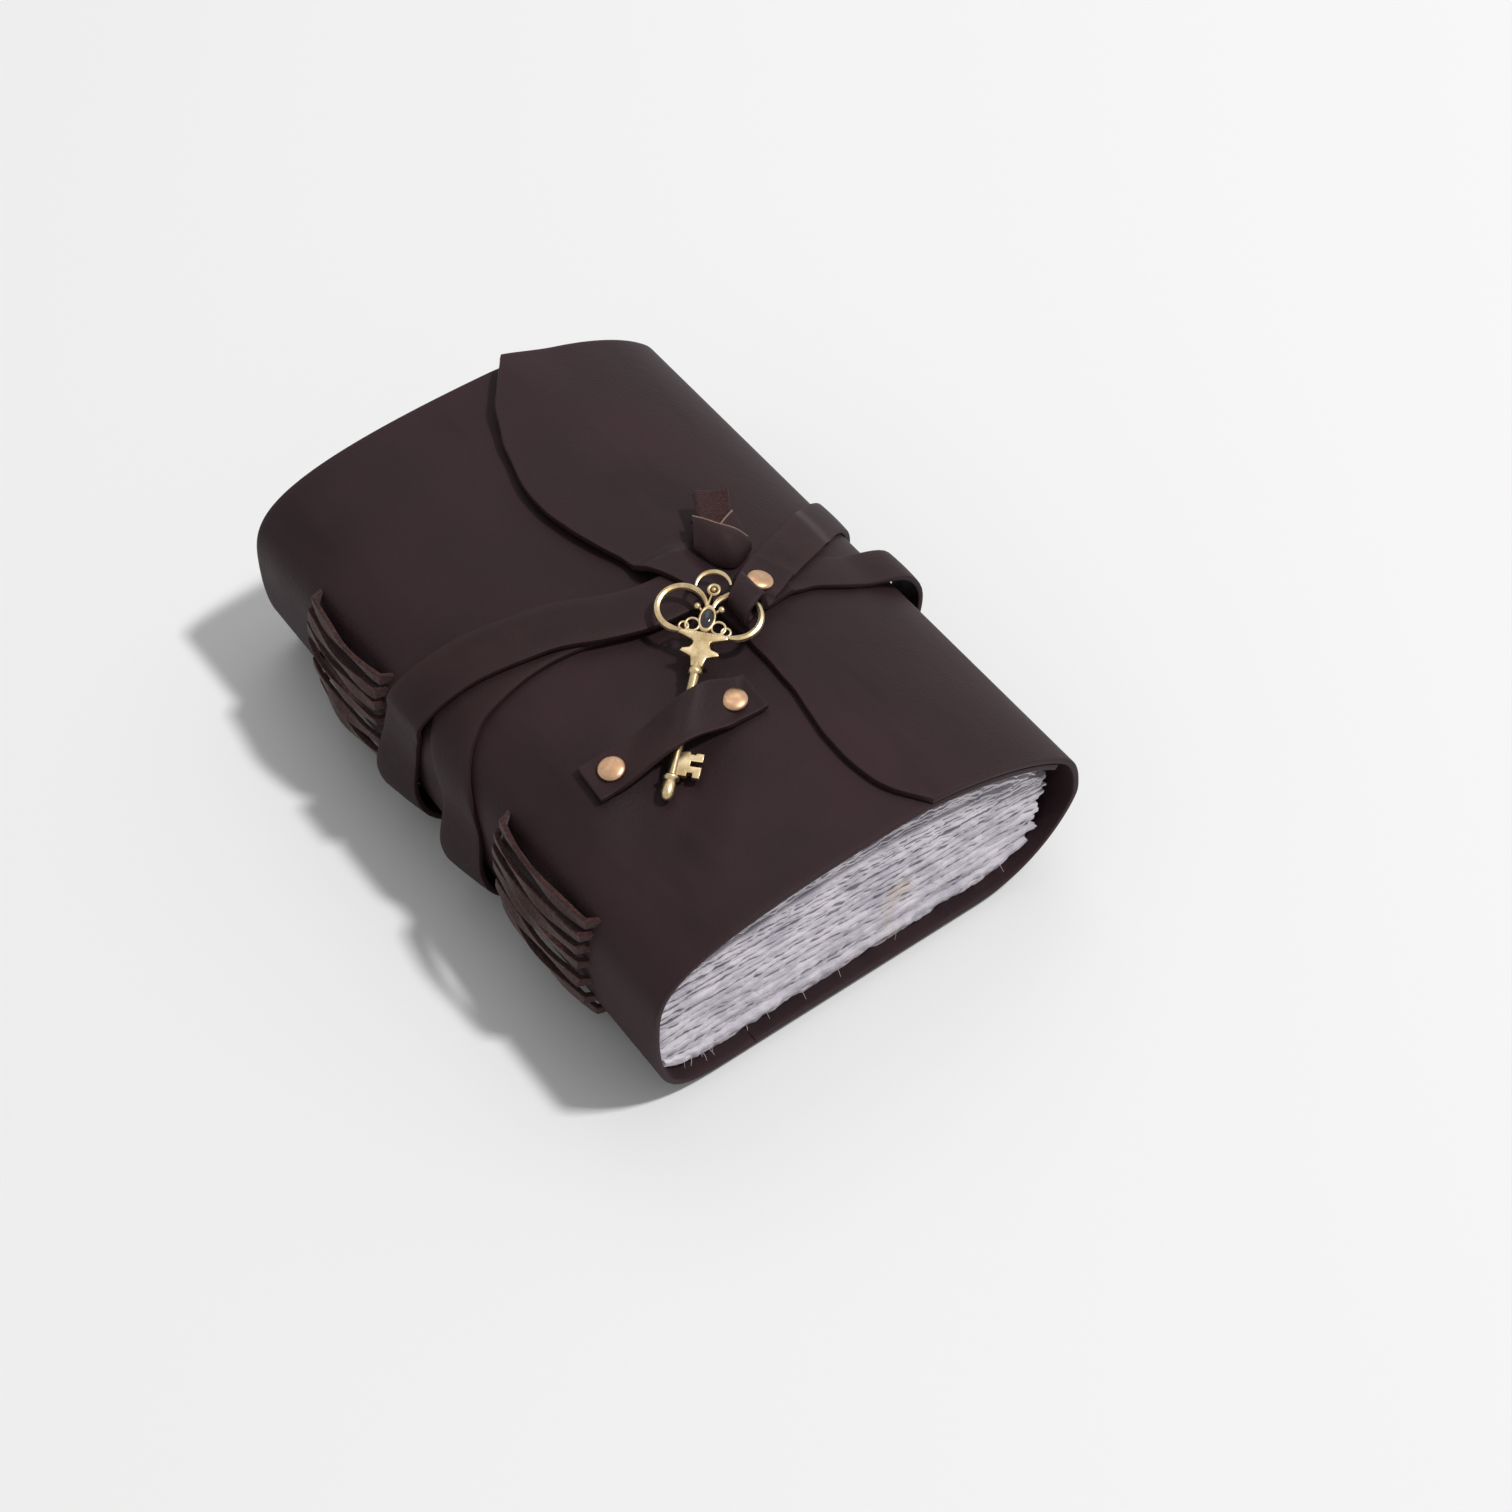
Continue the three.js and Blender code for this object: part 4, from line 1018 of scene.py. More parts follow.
@dataclass
class Cover:
    """The wrap of the book: back and spine, front cover and flap."""

    finishes: Finishes
    flap_edge: tuple = (
        (92, 12.5), (83, 6.3), (76, 0.6), (68, -3), (58, -6.4), (49, -8.8), (40, -9.2), (32, -8.2),
        (22, -5.5), (14, -2.4), (6, -0.4), (0, 2.4), (-6, 4.6), (-20, 8), (-31, 8.5), (-46, 7.7),
        (-64, 5.3), (-80, 6.8), (-92, 14.5),
    )
    wander: float = 0.35
    wander_length: float = 34.0
    corner_curl: float = 5.0
    corner_y: float = 55.0
    corner_x: float = 30.0
    lobe_lift: float = 1.4
    lobe_y: float = 36.0
    lobe_half: float = 10.0
    lobe_x: float = 26.0
    lift_run: float = 34.0
    swell_y: float = -4.0
    swell_half: float = 8.4
    swell_fall: float = 6.6
    strap_end_x: float = 7.0
    swell_end_x: float = 16.4
    join_x: float = -36.0
    dent_half: float = 3.0
    dent_fall: float = 15.0
    dent_u: float = 4.0
    dent_half_run: float = 6.0
    dent_end: float = 28.0
    seam_clear: float = 2.0
    swell_clear: float = 1.0
    edge_samples: int = 800
    under_samples: int = 2000

    def __post_init__(self) -> None:
        """Draws the flap's free edge once."""
        edge = SmoothLine(list(self.flap_edge)).at(np.linspace(0, 1, self.edge_samples))
        order = np.argsort(edge[:, 0])
        self._edge_y, self._edge_x = edge[order, 0], edge[order, 1]
        places = np.linspace(book.left_flat_s, book.right_flat_s, self.under_samples)
        under = book.surface(places)[0][:, 0]
        self.join_s = float(places[np.argmin(np.abs(under - self.join_x))])

    def edge_x(self, y: np.ndarray) -> np.ndarray:
        """Gives x of the flap's free edge, with the small wander of a hand cut."""
        wander = self.wander * ripple(y, 0 * y, 5, self.wander_length)
        return np.interp(y, self._edge_y, self._edge_x) + wander

    def flap_under(self, s: np.ndarray, y: np.ndarray) -> np.ndarray:
        """Gives the height of the flap's under face over the section.

        Args:
            s: Arc lengths.
            y: Places along the spine.

        Returns:
            Heights in millimetres.
        """
        x = book.surface(s)[0][..., 0]
        over = ease((book.seam_s - s) / (book.seam_s - book.front_edge_s - self.seam_clear))
        base = lerp(-book.leather, book.gap, over)
        over_strap = plateau(y - self.swell_y, self.swell_half, self.swell_fall)
        run = self.swell_end_x - self.strap_end_x - self.swell_clear
        strap_ends = (2 * book.strap + 3 * book.gap) * over_strap * ease((self.swell_end_x - x) / run)
        at_corner = ease((y - self.corner_y) / (book.half - self.corner_y))
        corner = self.corner_curl * at_corner * ease((self.corner_x - x) / self.lift_run)
        at_lobe = plateau(y - self.lobe_y, self.lobe_half, self.lift_run)
        lobe = self.lobe_lift * at_lobe * ease((self.lobe_x - x) / self.lift_run)
        return base + strap_ends + corner + lobe * (1 - over_strap)

    def flap_outer(self, s: np.ndarray, y: np.ndarray) -> np.ndarray:
        """Gives the height of the flap's outer face over the section."""
        return self.flap_under(s, y) + book.leather

    def dent(self, x: np.ndarray, y: np.ndarray) -> np.ndarray:
        """Gives how far the key presses into the front cover.

        Args:
            x: Plan places.
            y: Plan places.

        Returns:
            Depths in millimetres.
        """
        u, off = key.along(x, y)
        along = plateau(u - self.dent_u, self.dent_half_run, self.dent_end)
        return book.key_dent * plateau(off, self.dent_half, self.dent_fall) * along

    def _book_side(self, u: np.ndarray, v: np.ndarray, h: float) -> np.ndarray:
        """Places the sheet that runs from under the book, over the spine, to the front edge.

        Args:
            u: Shares of the way round the book.
            v: Shares of the way from the near end to the far end.
            h: Height over the face.

        Returns:
            One point for each pair.
        """
        s = lerp(self.join_s, book.front_edge_s, u)
        y = lerp(-book.half, book.half, v)
        x = book.surface(s)[0][..., 0]
        return book.point(s, y, h - self.dent(x, y) * (s > book.spine_s))

    def _flap_side(self, u: np.ndarray, v: np.ndarray, h: float) -> np.ndarray:
        """Places the sheet that runs from under the book, over the nose, to the flap's edge.

        Args:
            u: Shares of the way from the flap's edge to the join.
            v: Shares of the way from the near end to the far end.
            h: Height over the face.

        Returns:
            One point for each pair.
        """
        y = lerp(-book.half, book.half, v)
        s = lerp(book.top_arc(self.edge_x(y)), self.join_s + book.girth, u)
        return book.point(s, y, np.where(s < book.nose_s, self.flap_outer(s, y), 0) + h)

    def make(self) -> None:
        """Builds the two sheets of the cover, which meet under the book."""
        f = self.finishes
        wrap = paint(hide("back_and_front_hide", 330, 130, self._book_side, book.leather),
                     f.grain, f.flesh, f.edge)
        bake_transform(wrap)
        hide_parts("cover_back_spine", "cover_front")
        flap = paint(hide("flap_hide", 210, 150, self._flap_side, book.leather),
                     f.grain, f.flesh, f.edge)
        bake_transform(flap)
        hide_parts("cover_flap")
        LOG.info("cover: the wrap and the flap")


# Paper


@dataclass
class Pages:
    """Signatures of handmade paper, torn on all their free edges, and the front leaves."""

    finishes: Finishes
    thin_leaves: int = 6
    thick_leaves: int = 14
    ragged: float = 0.6
    tear_length: float = 17.0
    fray_length: float = 4.0
    uneven: float = 0.9
    least_gap: float = 0.25
    torn_share: float = 0.14
    curl: float = 0.3
    curl_run: float = 7.0
    fringe: int = 22
    leaf_ragged: float = 0.8
    leaf_tear_length: float = 13.0
    leaf_gutter: float = 5.0
    leaf_torn_share: float = 0.04
    hollow_margin: float = 2.0
    hollow_samples: int = 900
    sheet_samples: int = 700
    shoulder_clear: float = 6.0
    shoulder_run: float = 16.0
    fold_clear: float = 0.3
    fill: tuple = (0.84, 0.97)
    fore_clear: float = 1.2
    fray: float = 0.5
    fore_ragged: float = 1.4
    fore_tear_length: float = 12.0
    curl_length: float = 40.0
    fringe_run: tuple = (-58, 50)
    hair: tuple = (0.09, 0.04)

    def __post_init__(self) -> None:
        """Measures the hollow that the pages fill."""
        self.leaf_top = book.leather + book.key_dent + book.gap
        self.top = self.leaf_top + book.leaves * (book.leaf + book.gap)
        self.side = book.leather + book.gap
        margin = self.hollow_margin
        s = np.linspace(book.top_arc(book.fore_edge_x + margin), book.nose_s - book.girth - margin,
                        self.hollow_samples)
        share = ease((book.shoulder_s - self.shoulder_clear - s) / self.shoulder_run)
        p, normal = book.surface(s)
        line = p - normal * lerp(self.top, self.side, share)[:, None]
        turn = int(np.argmin(line[:, 0]))
        upper, lower = line[:turn + 1][::-1], line[turn:]
        self._upper, self._lower = upper[np.argsort(upper[:, 0])], lower[np.argsort(lower[:, 0])]
        self.left = float(line[turn, 0])

    def roof(self, x: np.ndarray) -> np.ndarray:
        """Gives the height of the block's top."""
        return np.interp(x, self._upper[:, 0], self._upper[:, 1])

    def ground(self, x: np.ndarray) -> np.ndarray:
        """Gives the height of the block's bottom."""
        return np.interp(x, self._lower[:, 0], self._lower[:, 1])

    def parting(self, level: int, x: np.ndarray) -> np.ndarray:
        """Gives the height of the line between two signatures.

        Args:
            level: How many signatures lie under the line.
            x: Plan places.

        Returns:
            Heights over the floor, in millimetres.
        """
        if level == 0:
            return self.ground(x)
        if level == book.signatures:
            return self.roof(x)
        left = book.bands[level]
        right = left * (1 - book.band_fall) + self.side
        line = lerp(left, right, (x - book.spine_x) / (book.fore_edge_x - book.spine_x))
        return np.clip(line, self.ground(x), self.roof(x))

    def _sheet(self, level: int, order: int, count: int) -> bpy.types.Object:
        """Builds one folded sheet of a signature, with torn edges.

        Args:
            level: The signature, from the bottom.
            order: The sheet, from the bottom of its signature.
            count: Sheets in that signature.

        Returns:
            The closed sheet.
        """
        seed = 100 * level + order
        random = np.random.default_rng(seed)
        t = (order + 0.5) / count
        x = np.linspace(self.left, book.fore_edge_x, self.sheet_samples)
        low, high = self.parting(level, x), self.parting(level + 1, x)
        open_to = x[(high - low) > self.least_gap]
        start = float(open_to[0]) + self.fold_clear if len(open_to) else float(x[0])
        inset = random.uniform(-self.uneven, self.uneven, 3)
        reach = float(open_to[-1]) if len(open_to) else book.fore_edge_x
        thickness = float(np.median(high - low)) / count * random.uniform(*self.fill)

        def place(u: np.ndarray, v: np.ndarray, h: float) -> np.ndarray:
            """Places the sheet's middle face, its rows close together at the torn ends.

            Args:
                u: Shares of the way from the fold to the fore-edge.
                v: Shares of the way from the near end to the far end.
                h: Height over the face.

            Returns:
                One point for each pair.
            """
            ends = np.sign(v - 0.5) * (1 - (1 - np.abs(2 * v - 1)) ** 3)
            px = lerp(start, reach - self.fore_clear + inset[2], u)
            fray = self.fray * ripple(px, 0 * px, seed + 7, self.fray_length)
            tear = self.ragged * (ripple(px, 0 * px, seed, self.tear_length) + fray)
            half = book.half - book.page_recess
            near = -half + inset[0] + tear
            far = half + inset[1] + self.ragged * ripple(px, 0 * px, seed + 3, self.tear_length)
            y = np.where(v < 0.5, lerp(0, near, -ends), lerp(0, far, ends))
            torn = ease((u - 1 + self.torn_share) / self.torn_share) * self.ragged * self.fore_ragged
            px = px + torn * ripple(y, 0 * y, seed + 11, self.fore_tear_length)
            low_z, high_z = self.parting(level, px), self.parting(level + 1, px)
            z = lerp(low_z, high_z, t)
            at_end = ease((np.abs(y) - half + self.curl_run) / self.curl_run)
            curl = at_end * self.curl * ripple(px, 0 * px, seed + 5, self.curl_length)
            room = np.minimum(1, (high_z - low_z) / count)
            return np.stack([px + book.shift, y, z + curl * room + h], axis=-1)

        sheet = grid(f"sheet_{level}_{order}", 130, 14, place)
        apply_modifier(sheet, "SOLIDIFY", thickness=thickness * MM, offset=0.0)
        return sheet

    def _fringe(self) -> bpy.types.Object:
        """Builds the loose cotton fibres that hang at the near end of the block.

        Returns:
            All the fibres as one piece.
        """
        random = np.random.default_rng(77)
        hairs = []
        for _ in range(self.fringe):
            x = random.uniform(*self.fringe_run)
            low, high = float(self.ground(np.array([x]))[0]), float(self.roof(np.array([x]))[0])
            z = low + (high - low) * random.choice([0.03, 0.03, 0.06, random.uniform(0.1, 0.8)])
            y = -book.half + book.page_recess + 0.4
            way = random.uniform(-1, 1)
            stations = [(x, y + 2, z), (x + way, y - 1.2, z + 0.5)]
            stations.append((x + way * random.uniform(1, 2.6), y - random.uniform(1.6, 2.9),
                             z + random.uniform(-1.6, 1.4)))
            path = SmoothLine(stations).at(np.linspace(0, 1, 9)) + np.array([book.shift, 0, 0])
            hairs.append(wire("hair", path, np.linspace(*self.hair, 9), 4))
        return join("page_fibres", hairs)

    def make(self) -> None:
        """Builds the signatures, the front leaves and the loose fibres."""
        for level in range(book.signatures):
            count = self.thick_leaves if level == book.signatures - 1 else self.thin_leaves
            sheets = [self._sheet(level, order, count) for order in range(count)]
            block = paint(smooth(join(f"signature_{level + 1}_sheets", sheets)), self.finishes.paper)
            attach(block, "book")
            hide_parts(f"signature_{level + 1}")
        fibres = paint(self._fringe(), self.finishes.paper)
        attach(fibres, "book")
        for index in range(book.leaves):
            self._front_leaf(index)
        LOG.info("paper: %d signatures and %d front leaves", book.signatures, book.leaves)

    def _front_leaf(self, index: int) -> None:
        """Builds a front leaf.

        Args:
            index: The leaf, from the top.
        """
        height = -(self.leaf_top + index * (book.leaf + book.gap))
        seed = 900 + index

        def place(u: np.ndarray, v: np.ndarray, h: float) -> np.ndarray:
            """Places the leaf's upper face, torn at three edges.

            Args:
                u: Shares of the way from the gutter to the fore-edge.
                v: Shares of the way from the near end to the far end.
                h: Height over the face.

            Returns:
                One point for each pair.
            """
            half = book.half - book.page_recess
            y = lerp(-half, half, v)
            tear = self.leaf_ragged * ripple(y, 0 * y, seed, self.leaf_tear_length)
            x = lerp(book.spine_x + book.gutter_inset - self.leaf_gutter, book.fore_edge_x + tear, u)
            torn = self.leaf_torn_share
            ends = ease((torn - v) / torn) - ease((v - (1 - torn)) / torn)
            y = y + ends * self.leaf_ragged * ripple(x, 0 * x, seed + 4, self.leaf_tear_length)
            return book.over(x, y, height + h)

        leaf = hide(f"front_leaf_{index + 1}_sheet", 90, 70, place, book.leaf, 0)
        paint(leaf, *[self.finishes.paper] * 3)
        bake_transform(leaf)
        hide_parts(f"front_leaf_{index + 1}")


# Stitches


class End(Enum):
    """The two groups of stitches on the spine, with the run of each along it."""

    NEAR = (-66.0, -25.5)
    FAR = (25.8, 62.5)


@dataclass
class Stitches:
    """Long stitches of split thong, standing out from the spine in bows."""

    finishes: Finishes
    width: float = 3.6
    thickness: float = 1.3
    standoff: float = 1.1
    bow: float = 2.4
    dive: float = 3.4
    dive_share: float = 0.05
    narrowing: float = 0.6
    twist: float = 0.35
    squareness: float = 0.75
    uneven: float = 0.06
    bow_range: tuple = (0.8, 1.08)
    sag_range: tuple = (0.2, 0.8)
    lean_range: tuple = (-0.5, 0.5)
    lean_share: float = 0.3

    def _stitch(self, end: End, index: int) -> None:
        """Builds one stitch, twisted a little and narrower where it dives into the spine.

        Args:
            end: The group that it belongs to.
            index: The signature that it sews, from the bottom.
        """
        group = end.name.lower()
        seed = 40 * (end is End.FAR) + index
        random = np.random.default_rng(seed)
        z = (book.bands[index] + book.bands[index + 1]) / 2
        s = book.spine_arc(z)
        near, far = end.value
        bow = self.bow * random.uniform(*self.bow_range)
        sag = random.uniform(*self.sag_range)
        lean = random.uniform(*self.lean_range)

        def place(u: np.ndarray, v: np.ndarray, h: float) -> np.ndarray:
            """Places the outer face of the thong.

            Args:
                u: Shares of the way along the stitch.
                v: Shares of the way across it.
                h: Height over the face.

            Returns:
                One point for each pair.
            """
            y = lerp(near, far, u)
            out = np.sin(np.pi * u) ** self.squareness
            dive = ease((self.dive_share - np.minimum(u, 1 - u)) / self.dive_share)
            uneven = 1 - self.uneven + self.uneven * np.sin(9 * u + seed)
            wide = self.width * lerp(1.0, self.narrowing, dive) * uneven
            across = (v - 0.5) * wide
            p, _ = book.surface(np.full(u.shape, s))
            tilt = self.twist * np.sin(2.4 * np.pi * u + seed) * out + lean * self.lean_share
            dx = self.standoff + self.thickness + bow * out - self.dive * dive
            px = p[..., 0] - dx - h + across * np.sin(tilt)
            pz = p[..., 1] + across * np.cos(tilt) - sag * out
            return np.stack([px + book.shift, y, pz], axis=-1)

        piece = hide(f"thong_{group}_{index + 1}_strip", 44, 6, place, self.thickness, 0.25)
        paint(piece, self.finishes.thong, self.finishes.thong, self.finishes.edge)
        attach(piece, "book")
        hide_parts(f"thong_{group}_{index + 1}")

    def make(self) -> None:
        """Builds both groups."""
        for end in End:
            for index in range(book.signatures):
                self._stitch(end, index)
        LOG.info("stitches: %d", 2 * book.signatures)


# Tab and rivets


def stand(x: float, y: float, n: float, tilt: float = 0.0) -> Matrix:
    """Gives the place of a turned piece that stands on the cover.

    Args:
        x: Plan place, in millimetres.
        y: Plan place, in millimetres.
        n: Height over the section, in millimetres.
        tilt: Turn towards the fore-edge, in degrees.

    Returns:
        The turn and place, in metres.
    """
    s = book.top_arc(np.array([x]))
    _, normal = book.surface(s)
    spot = book.point(s, np.array([y]), np.array([n]))[0]
    lean = math.atan2(normal[0, 0], normal[0, 1]) + math.radians(tilt)
    return Matrix.Translation(Vector(spot * MM)) @ Matrix.Rotation(lean, 4, "Y")


@dataclass
class Rivet:
    """A domed cap pressed on a post, with a thin rolled rim."""

    finishes: Finishes
    radius: float = 3.5
    height: float = 1.75
    sunk: float = 0.25

    def cap(self, name: str, node: str, body: str, place: Matrix) -> None:
        """Builds a cap.

        Args:
            name: The piece's name.
            node: The node that it replaces.
            body: The body that it rides on.
            place: Its turn and place.
        """
        r, h = self.radius, self.height
        turns = np.radians(np.arange(8, 90, 9))
        dome = [(r * math.cos(a), 0.34 * h + 0.66 * h * math.sin(a)) for a in turns]
        profile = [(0.72 * r, -0.05), (0.97 * r, -0.05), (r, 0.1), (r, 0.28 * h), *dome, (0, h)]
        piece = smooth(turned(name, profile, 48), 50)
        paint(piece, self.finishes.copper)
        set_down(piece, place)
        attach(piece, body)
        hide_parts(node)


@dataclass
class Tab:
    """A strip riveted over the key's shaft, with a ridge where the shaft passes."""

    finishes: Finishes
    centre: tuple = (-23.6, -39.4)
    turn: float = -3.4
    length: float = 47.4
    width: float = 11.4
    rivet_spacing: float = 34.8
    ridge_half: float = 1.0
    ridge_fall: float = 11.0
    corner_lift: float = 0.5
    corner_share: float = 0.14
    edge_lift: float = 0.35
    edge_share: float = 0.18
    edge_run: tuple = (0.3, 0.2)
    wander: float = 0.12
    wander_length: float = 20.0

    def plan(self, a: np.ndarray, b: np.ndarray) -> tuple[np.ndarray, np.ndarray]:
        """Gives plan points from distances along and across the tab."""
        c, d = math.cos(math.radians(self.turn)), math.sin(math.radians(self.turn))
        return self.centre[0] + a * c - b * d, self.centre[1] + a * d + b * c

    def under(self, x: np.ndarray, y: np.ndarray) -> np.ndarray:
        """Gives the height of the tab's under face over the section.

        Args:
            x: Plan places.
            y: Plan places.

        Returns:
            Heights in millimetres.
        """
        u, off = key.along(x, y)
        surface = book.surface(book.top_arc(x))[0][..., 1]
        over = key.height(u) + key.shaft + 2 * book.gap - surface
        return book.gap + (over - book.gap) * plateau(off, self.ridge_half, self.ridge_fall)

    def _place(self, u: np.ndarray, v: np.ndarray, h: float) -> np.ndarray:
        """Places the tab's outer face, with its cut corners lifted a little.

        Args:
            u: Shares of the way along the tab.
            v: Shares of the way across it.
            h: Height over the face.

        Returns:
            One point for each pair.
        """
        side = self.wander * ripple(u * self.length, v, 3, self.wander_length)
        a, b = (u - 0.5) * self.length, (v - 0.5) * self.width + side * np.sign(v - 0.5)
        x, y = self.plan(a, b)
        to_corner = np.abs(2 * u - 1) - (1 - self.corner_share)
        corners = self.corner_lift * ease(to_corner / self.corner_share)
        edge = self.edge_lift * plateau(v, 0.0, self.edge_share) * plateau(u - 0.5, *self.edge_run)
        lift = corners + edge
        return book.over(x, y, self.under(x, y) + book.strap + lift + h)

    def make(self) -> None:
        """Builds the tab, its caps and the finish of its posts."""
        f = self.finishes
        strip = paint(hide("key_tab_strip", 90, 22, self._place, book.strap),
                      f.strap, f.flesh, f.edge)
        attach(strip, "front_cover")
        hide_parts("key_tab")
        rivet = Rivet(f)
        for side, name in ((-0.5, "left"), (0.5, "right")):
            x, y = self.plan(side * self.rivet_spacing, 0)
            base = float(self.under(np.array([x]), np.array([y]))[0]) + book.strap + book.gap
            rivet.cap(f"tab_rivet_dome_{name}", f"tab_rivet_cap_{name}", "front_cover",
                      stand(x, y, base - rivet.sunk))
            paint(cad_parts[f"tab_rivet_post_{name}"], f.copper)
        LOG.info("tab with its rivets")


# Straps


@dataclass
class Straps:
    """Two turns of strap round the book and the bight that holds the key."""

    finishes: Finishes
    cover: Cover
    rivet_spot: tuple = (18.2, -16.0)
    spine_slack: float = 3.2
    nose_slack: float = 3.6
    fold_width: float = 6.8
    flange: float = 0.5
    cap_rise: float = 0.8
    cap_sunk: float = 0.35
    cap_tilt: float = 4.0
    end_y: float = -5.4
    crossing_margin: float = 3.0
    crossing_fall: float = 5.0
    rivet_half: float = 5.0
    rivet_fall: float = 9.0
    slack_half: float = 2.0
    slack_centre: float = 0.35
    slack_clear: float = 12.0
    nose_inset: float = 13.0
    nose_fall: float = 17.0
    loose: float = 1.5
    loose_centre: float = 0.3
    loose_clear: float = 10.0
    crown: float = 0.22
    wander: float = 0.2
    wander_run: float = 400.0
    wander_length: float = 60.0
    upper_end: tuple = (7.6, 4.3)
    lower_end: tuple = (7.6, 2.0)
    lower_shift: float = 0.4
    leg_start: float = 3.5
    leg_narrow: float = 0.8
    leg_rise: float = 0.1
    fold_past: float = 2.3
    fold_run: float = 1.8
    fold_step: float = 0.5
    fold_share: float = 0.72
    widen: tuple = (2.0, 0.9, 0.2, 0.6)
    loop_crown: float = 0.2
    lean_run: float = 3.0
    far_first: tuple = ((-8, -3.9), (-18.7, 0), (-28.2, 4.8), (-39, 8), (-48.6, 10.8), (-57, 12.5))
    far_below: tuple = (17, 16, 14, 12)
    far_second: tuple = ((57, 6.4), (48, 0.6), (40.6, -4.1), (30.4, -9.2), (25.9, -11.7))
    near_first: tuple = ((-8, -2.4), (-23, 2.4), (-31.7, 4.1), (-40.7, 4.5), (-50, 3.7),
                         (-57.5, 2.2), (-63, -1.2))
    near_below: tuple = (-11.4, -14, -16, -18, -17.5)
    near_flat: float = 16.0
    near_second: tuple = ((45, -16.6), (35, -14.2), (26.6, -14))

    def __post_init__(self) -> None:
        """Lays out both routes as arc length and y."""
        lap_nose = book.nose_s - book.girth
        below = (book.spine_s, book.left_flat_s, book.right_flat_s, lap_nose)
        self.far = self._route(self.far_first, zip(below, self.far_below), self.far_second)
        below = (book.spine_s, book.left_flat_s + self.near_flat, *below[1:])
        self.near = self._route(self.near_first, zip(below, self.near_below), self.near_second)

    def _route(self, first: tuple, below: zip, second: tuple) -> SmoothLine:
        """Gives a route as arc length and y, from places on top, below and on top again.

        Args:
            first: Places of the first stretch on top, as x and y.
            below: Places under the book, as arc length and y.
            second: Places of the second stretch on top, as x and y.

        Returns:
            The route.
        """
        return SmoothLine([
            (float(book.top_arc(self.cover.strap_end_x)), self.end_y),
            *[(float(book.top_arc(x)), y) for x, y in first], *below,
            *[(float(book.top_arc(x)) - book.girth, y) for x, y in second],
        ])

    def width(self, s: np.ndarray) -> np.ndarray:
        """Gives a band's width, less on its second lap, towards the key."""
        run = book.left_flat_s - book.nose_s + book.girth
        return lerp(book.strap_width, book.lap_width, ease((book.left_flat_s - s) / run))

    def _route_y(self, line: SmoothLine, s: np.ndarray) -> np.ndarray:
        """Gives y of a route at an arc length."""
        stations = np.array(line.stations)[::-1]
        return np.interp(s, stations[:, 0], stations[:, 1])

    def under(self, s: np.ndarray, y: np.ndarray, on_top: bool, slack: float) -> np.ndarray:
        """Gives the height of a band's under face over the section.

        Args:
            s: Arc lengths.
            y: Places along the spine.
            on_top: True for the band that crosses over the other.
            slack: How far the band stands off the nose.

        Returns:
            Heights in millimetres.
        """
        lap_s = s + book.girth
        second = s < book.right_flat_s
        base = np.where(second & (lap_s < book.seam_s), self.cover.flap_outer(lap_s, y), 0) + book.gap
        apart = np.abs(self._route_y(self.far, s) - self._route_y(self.near, s))
        lift = book.strap + 2 * book.gap if on_top else 0
        crossing = lift * plateau(apart, self.width(s) + self.crossing_margin, self.crossing_fall)
        x = book.surface(s)[0][..., 0]
        from_rivet = np.hypot(x - self.rivet_spot[0], y - self.rivet_spot[1])
        over_rivet = (self.flange + book.gap) * plateau(from_rivet, self.rivet_half, self.rivet_fall)
        rivet = np.where(second, over_rivet, 0)
        run = book.spine_s - book.left_flat_s
        spine_fall = (1 - self.slack_centre) * run - self.slack_clear
        from_middle = s - book.spine_s + self.slack_centre * run
        at_spine = self.spine_slack * plateau(from_middle, self.slack_half, spine_fall)
        from_nose = lap_s - book.nose_s + self.nose_inset
        at_nose = np.where(second, slack * plateau(from_nose, self.slack_half, self.nose_fall), 0)
        return base + crossing + rivet + at_spine + at_nose

    def _band(self, name: str, node: str, line: SmoothLine, on_top: bool, slack: float) -> None:
        """Builds one turn of strap.

        Args:
            name: The piece's name.
            node: The node that it replaces.
            line: Its route, as arc length and y.
            on_top: True for the turn that crosses over the other.
            slack: How far it stands off the nose.
        """
        run = book.spine_s - book.left_flat_s
        loose_fall = (1 - self.loose_centre) * run - self.loose_clear

        def place(u: np.ndarray, v: np.ndarray, h: float) -> np.ndarray:
            """Places the band's outer face, a little crowned, its far edge loose at the spine.

            Args:
                u: Shares of the way along the band.
                v: Shares of the way across it.
                h: Height over the face.

            Returns:
                One point for each pair.
            """
            here, way = line.at(u), line.heading(u)
            wander = self.wander * ripple(u * self.wander_run, 0 * u, 8, self.wander_length)
            side = (v - 0.5) * (self.width(here[:, 0]) + wander)
            s = here[:, 0] - way[:, 1] * side
            y = here[:, 1] + way[:, 0] * side
            n = self.under(s, y, on_top, slack)
            from_middle = here[:, 0] - book.spine_s + self.loose_centre * run
            at_spine = plateau(from_middle, self.slack_half, loose_fall)
            loose = self.loose * at_spine * (y - here[:, 1]) / book.strap_width * 2
            crown = self.crown * (1 - (2 * v - 1) ** 2)
            crown = crown * ease((n - 0.2) / 0.3)
            return book.point(s, y, n + book.strap + np.maximum(loose, -book.strap) + crown + h)

        band = paint(hide(name, 300, 8, place, book.strap, 0.35),
                     self.finishes.strap, self.finishes.flesh, self.finishes.edge)
        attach(band, "book")
        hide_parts(node)
        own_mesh(band)

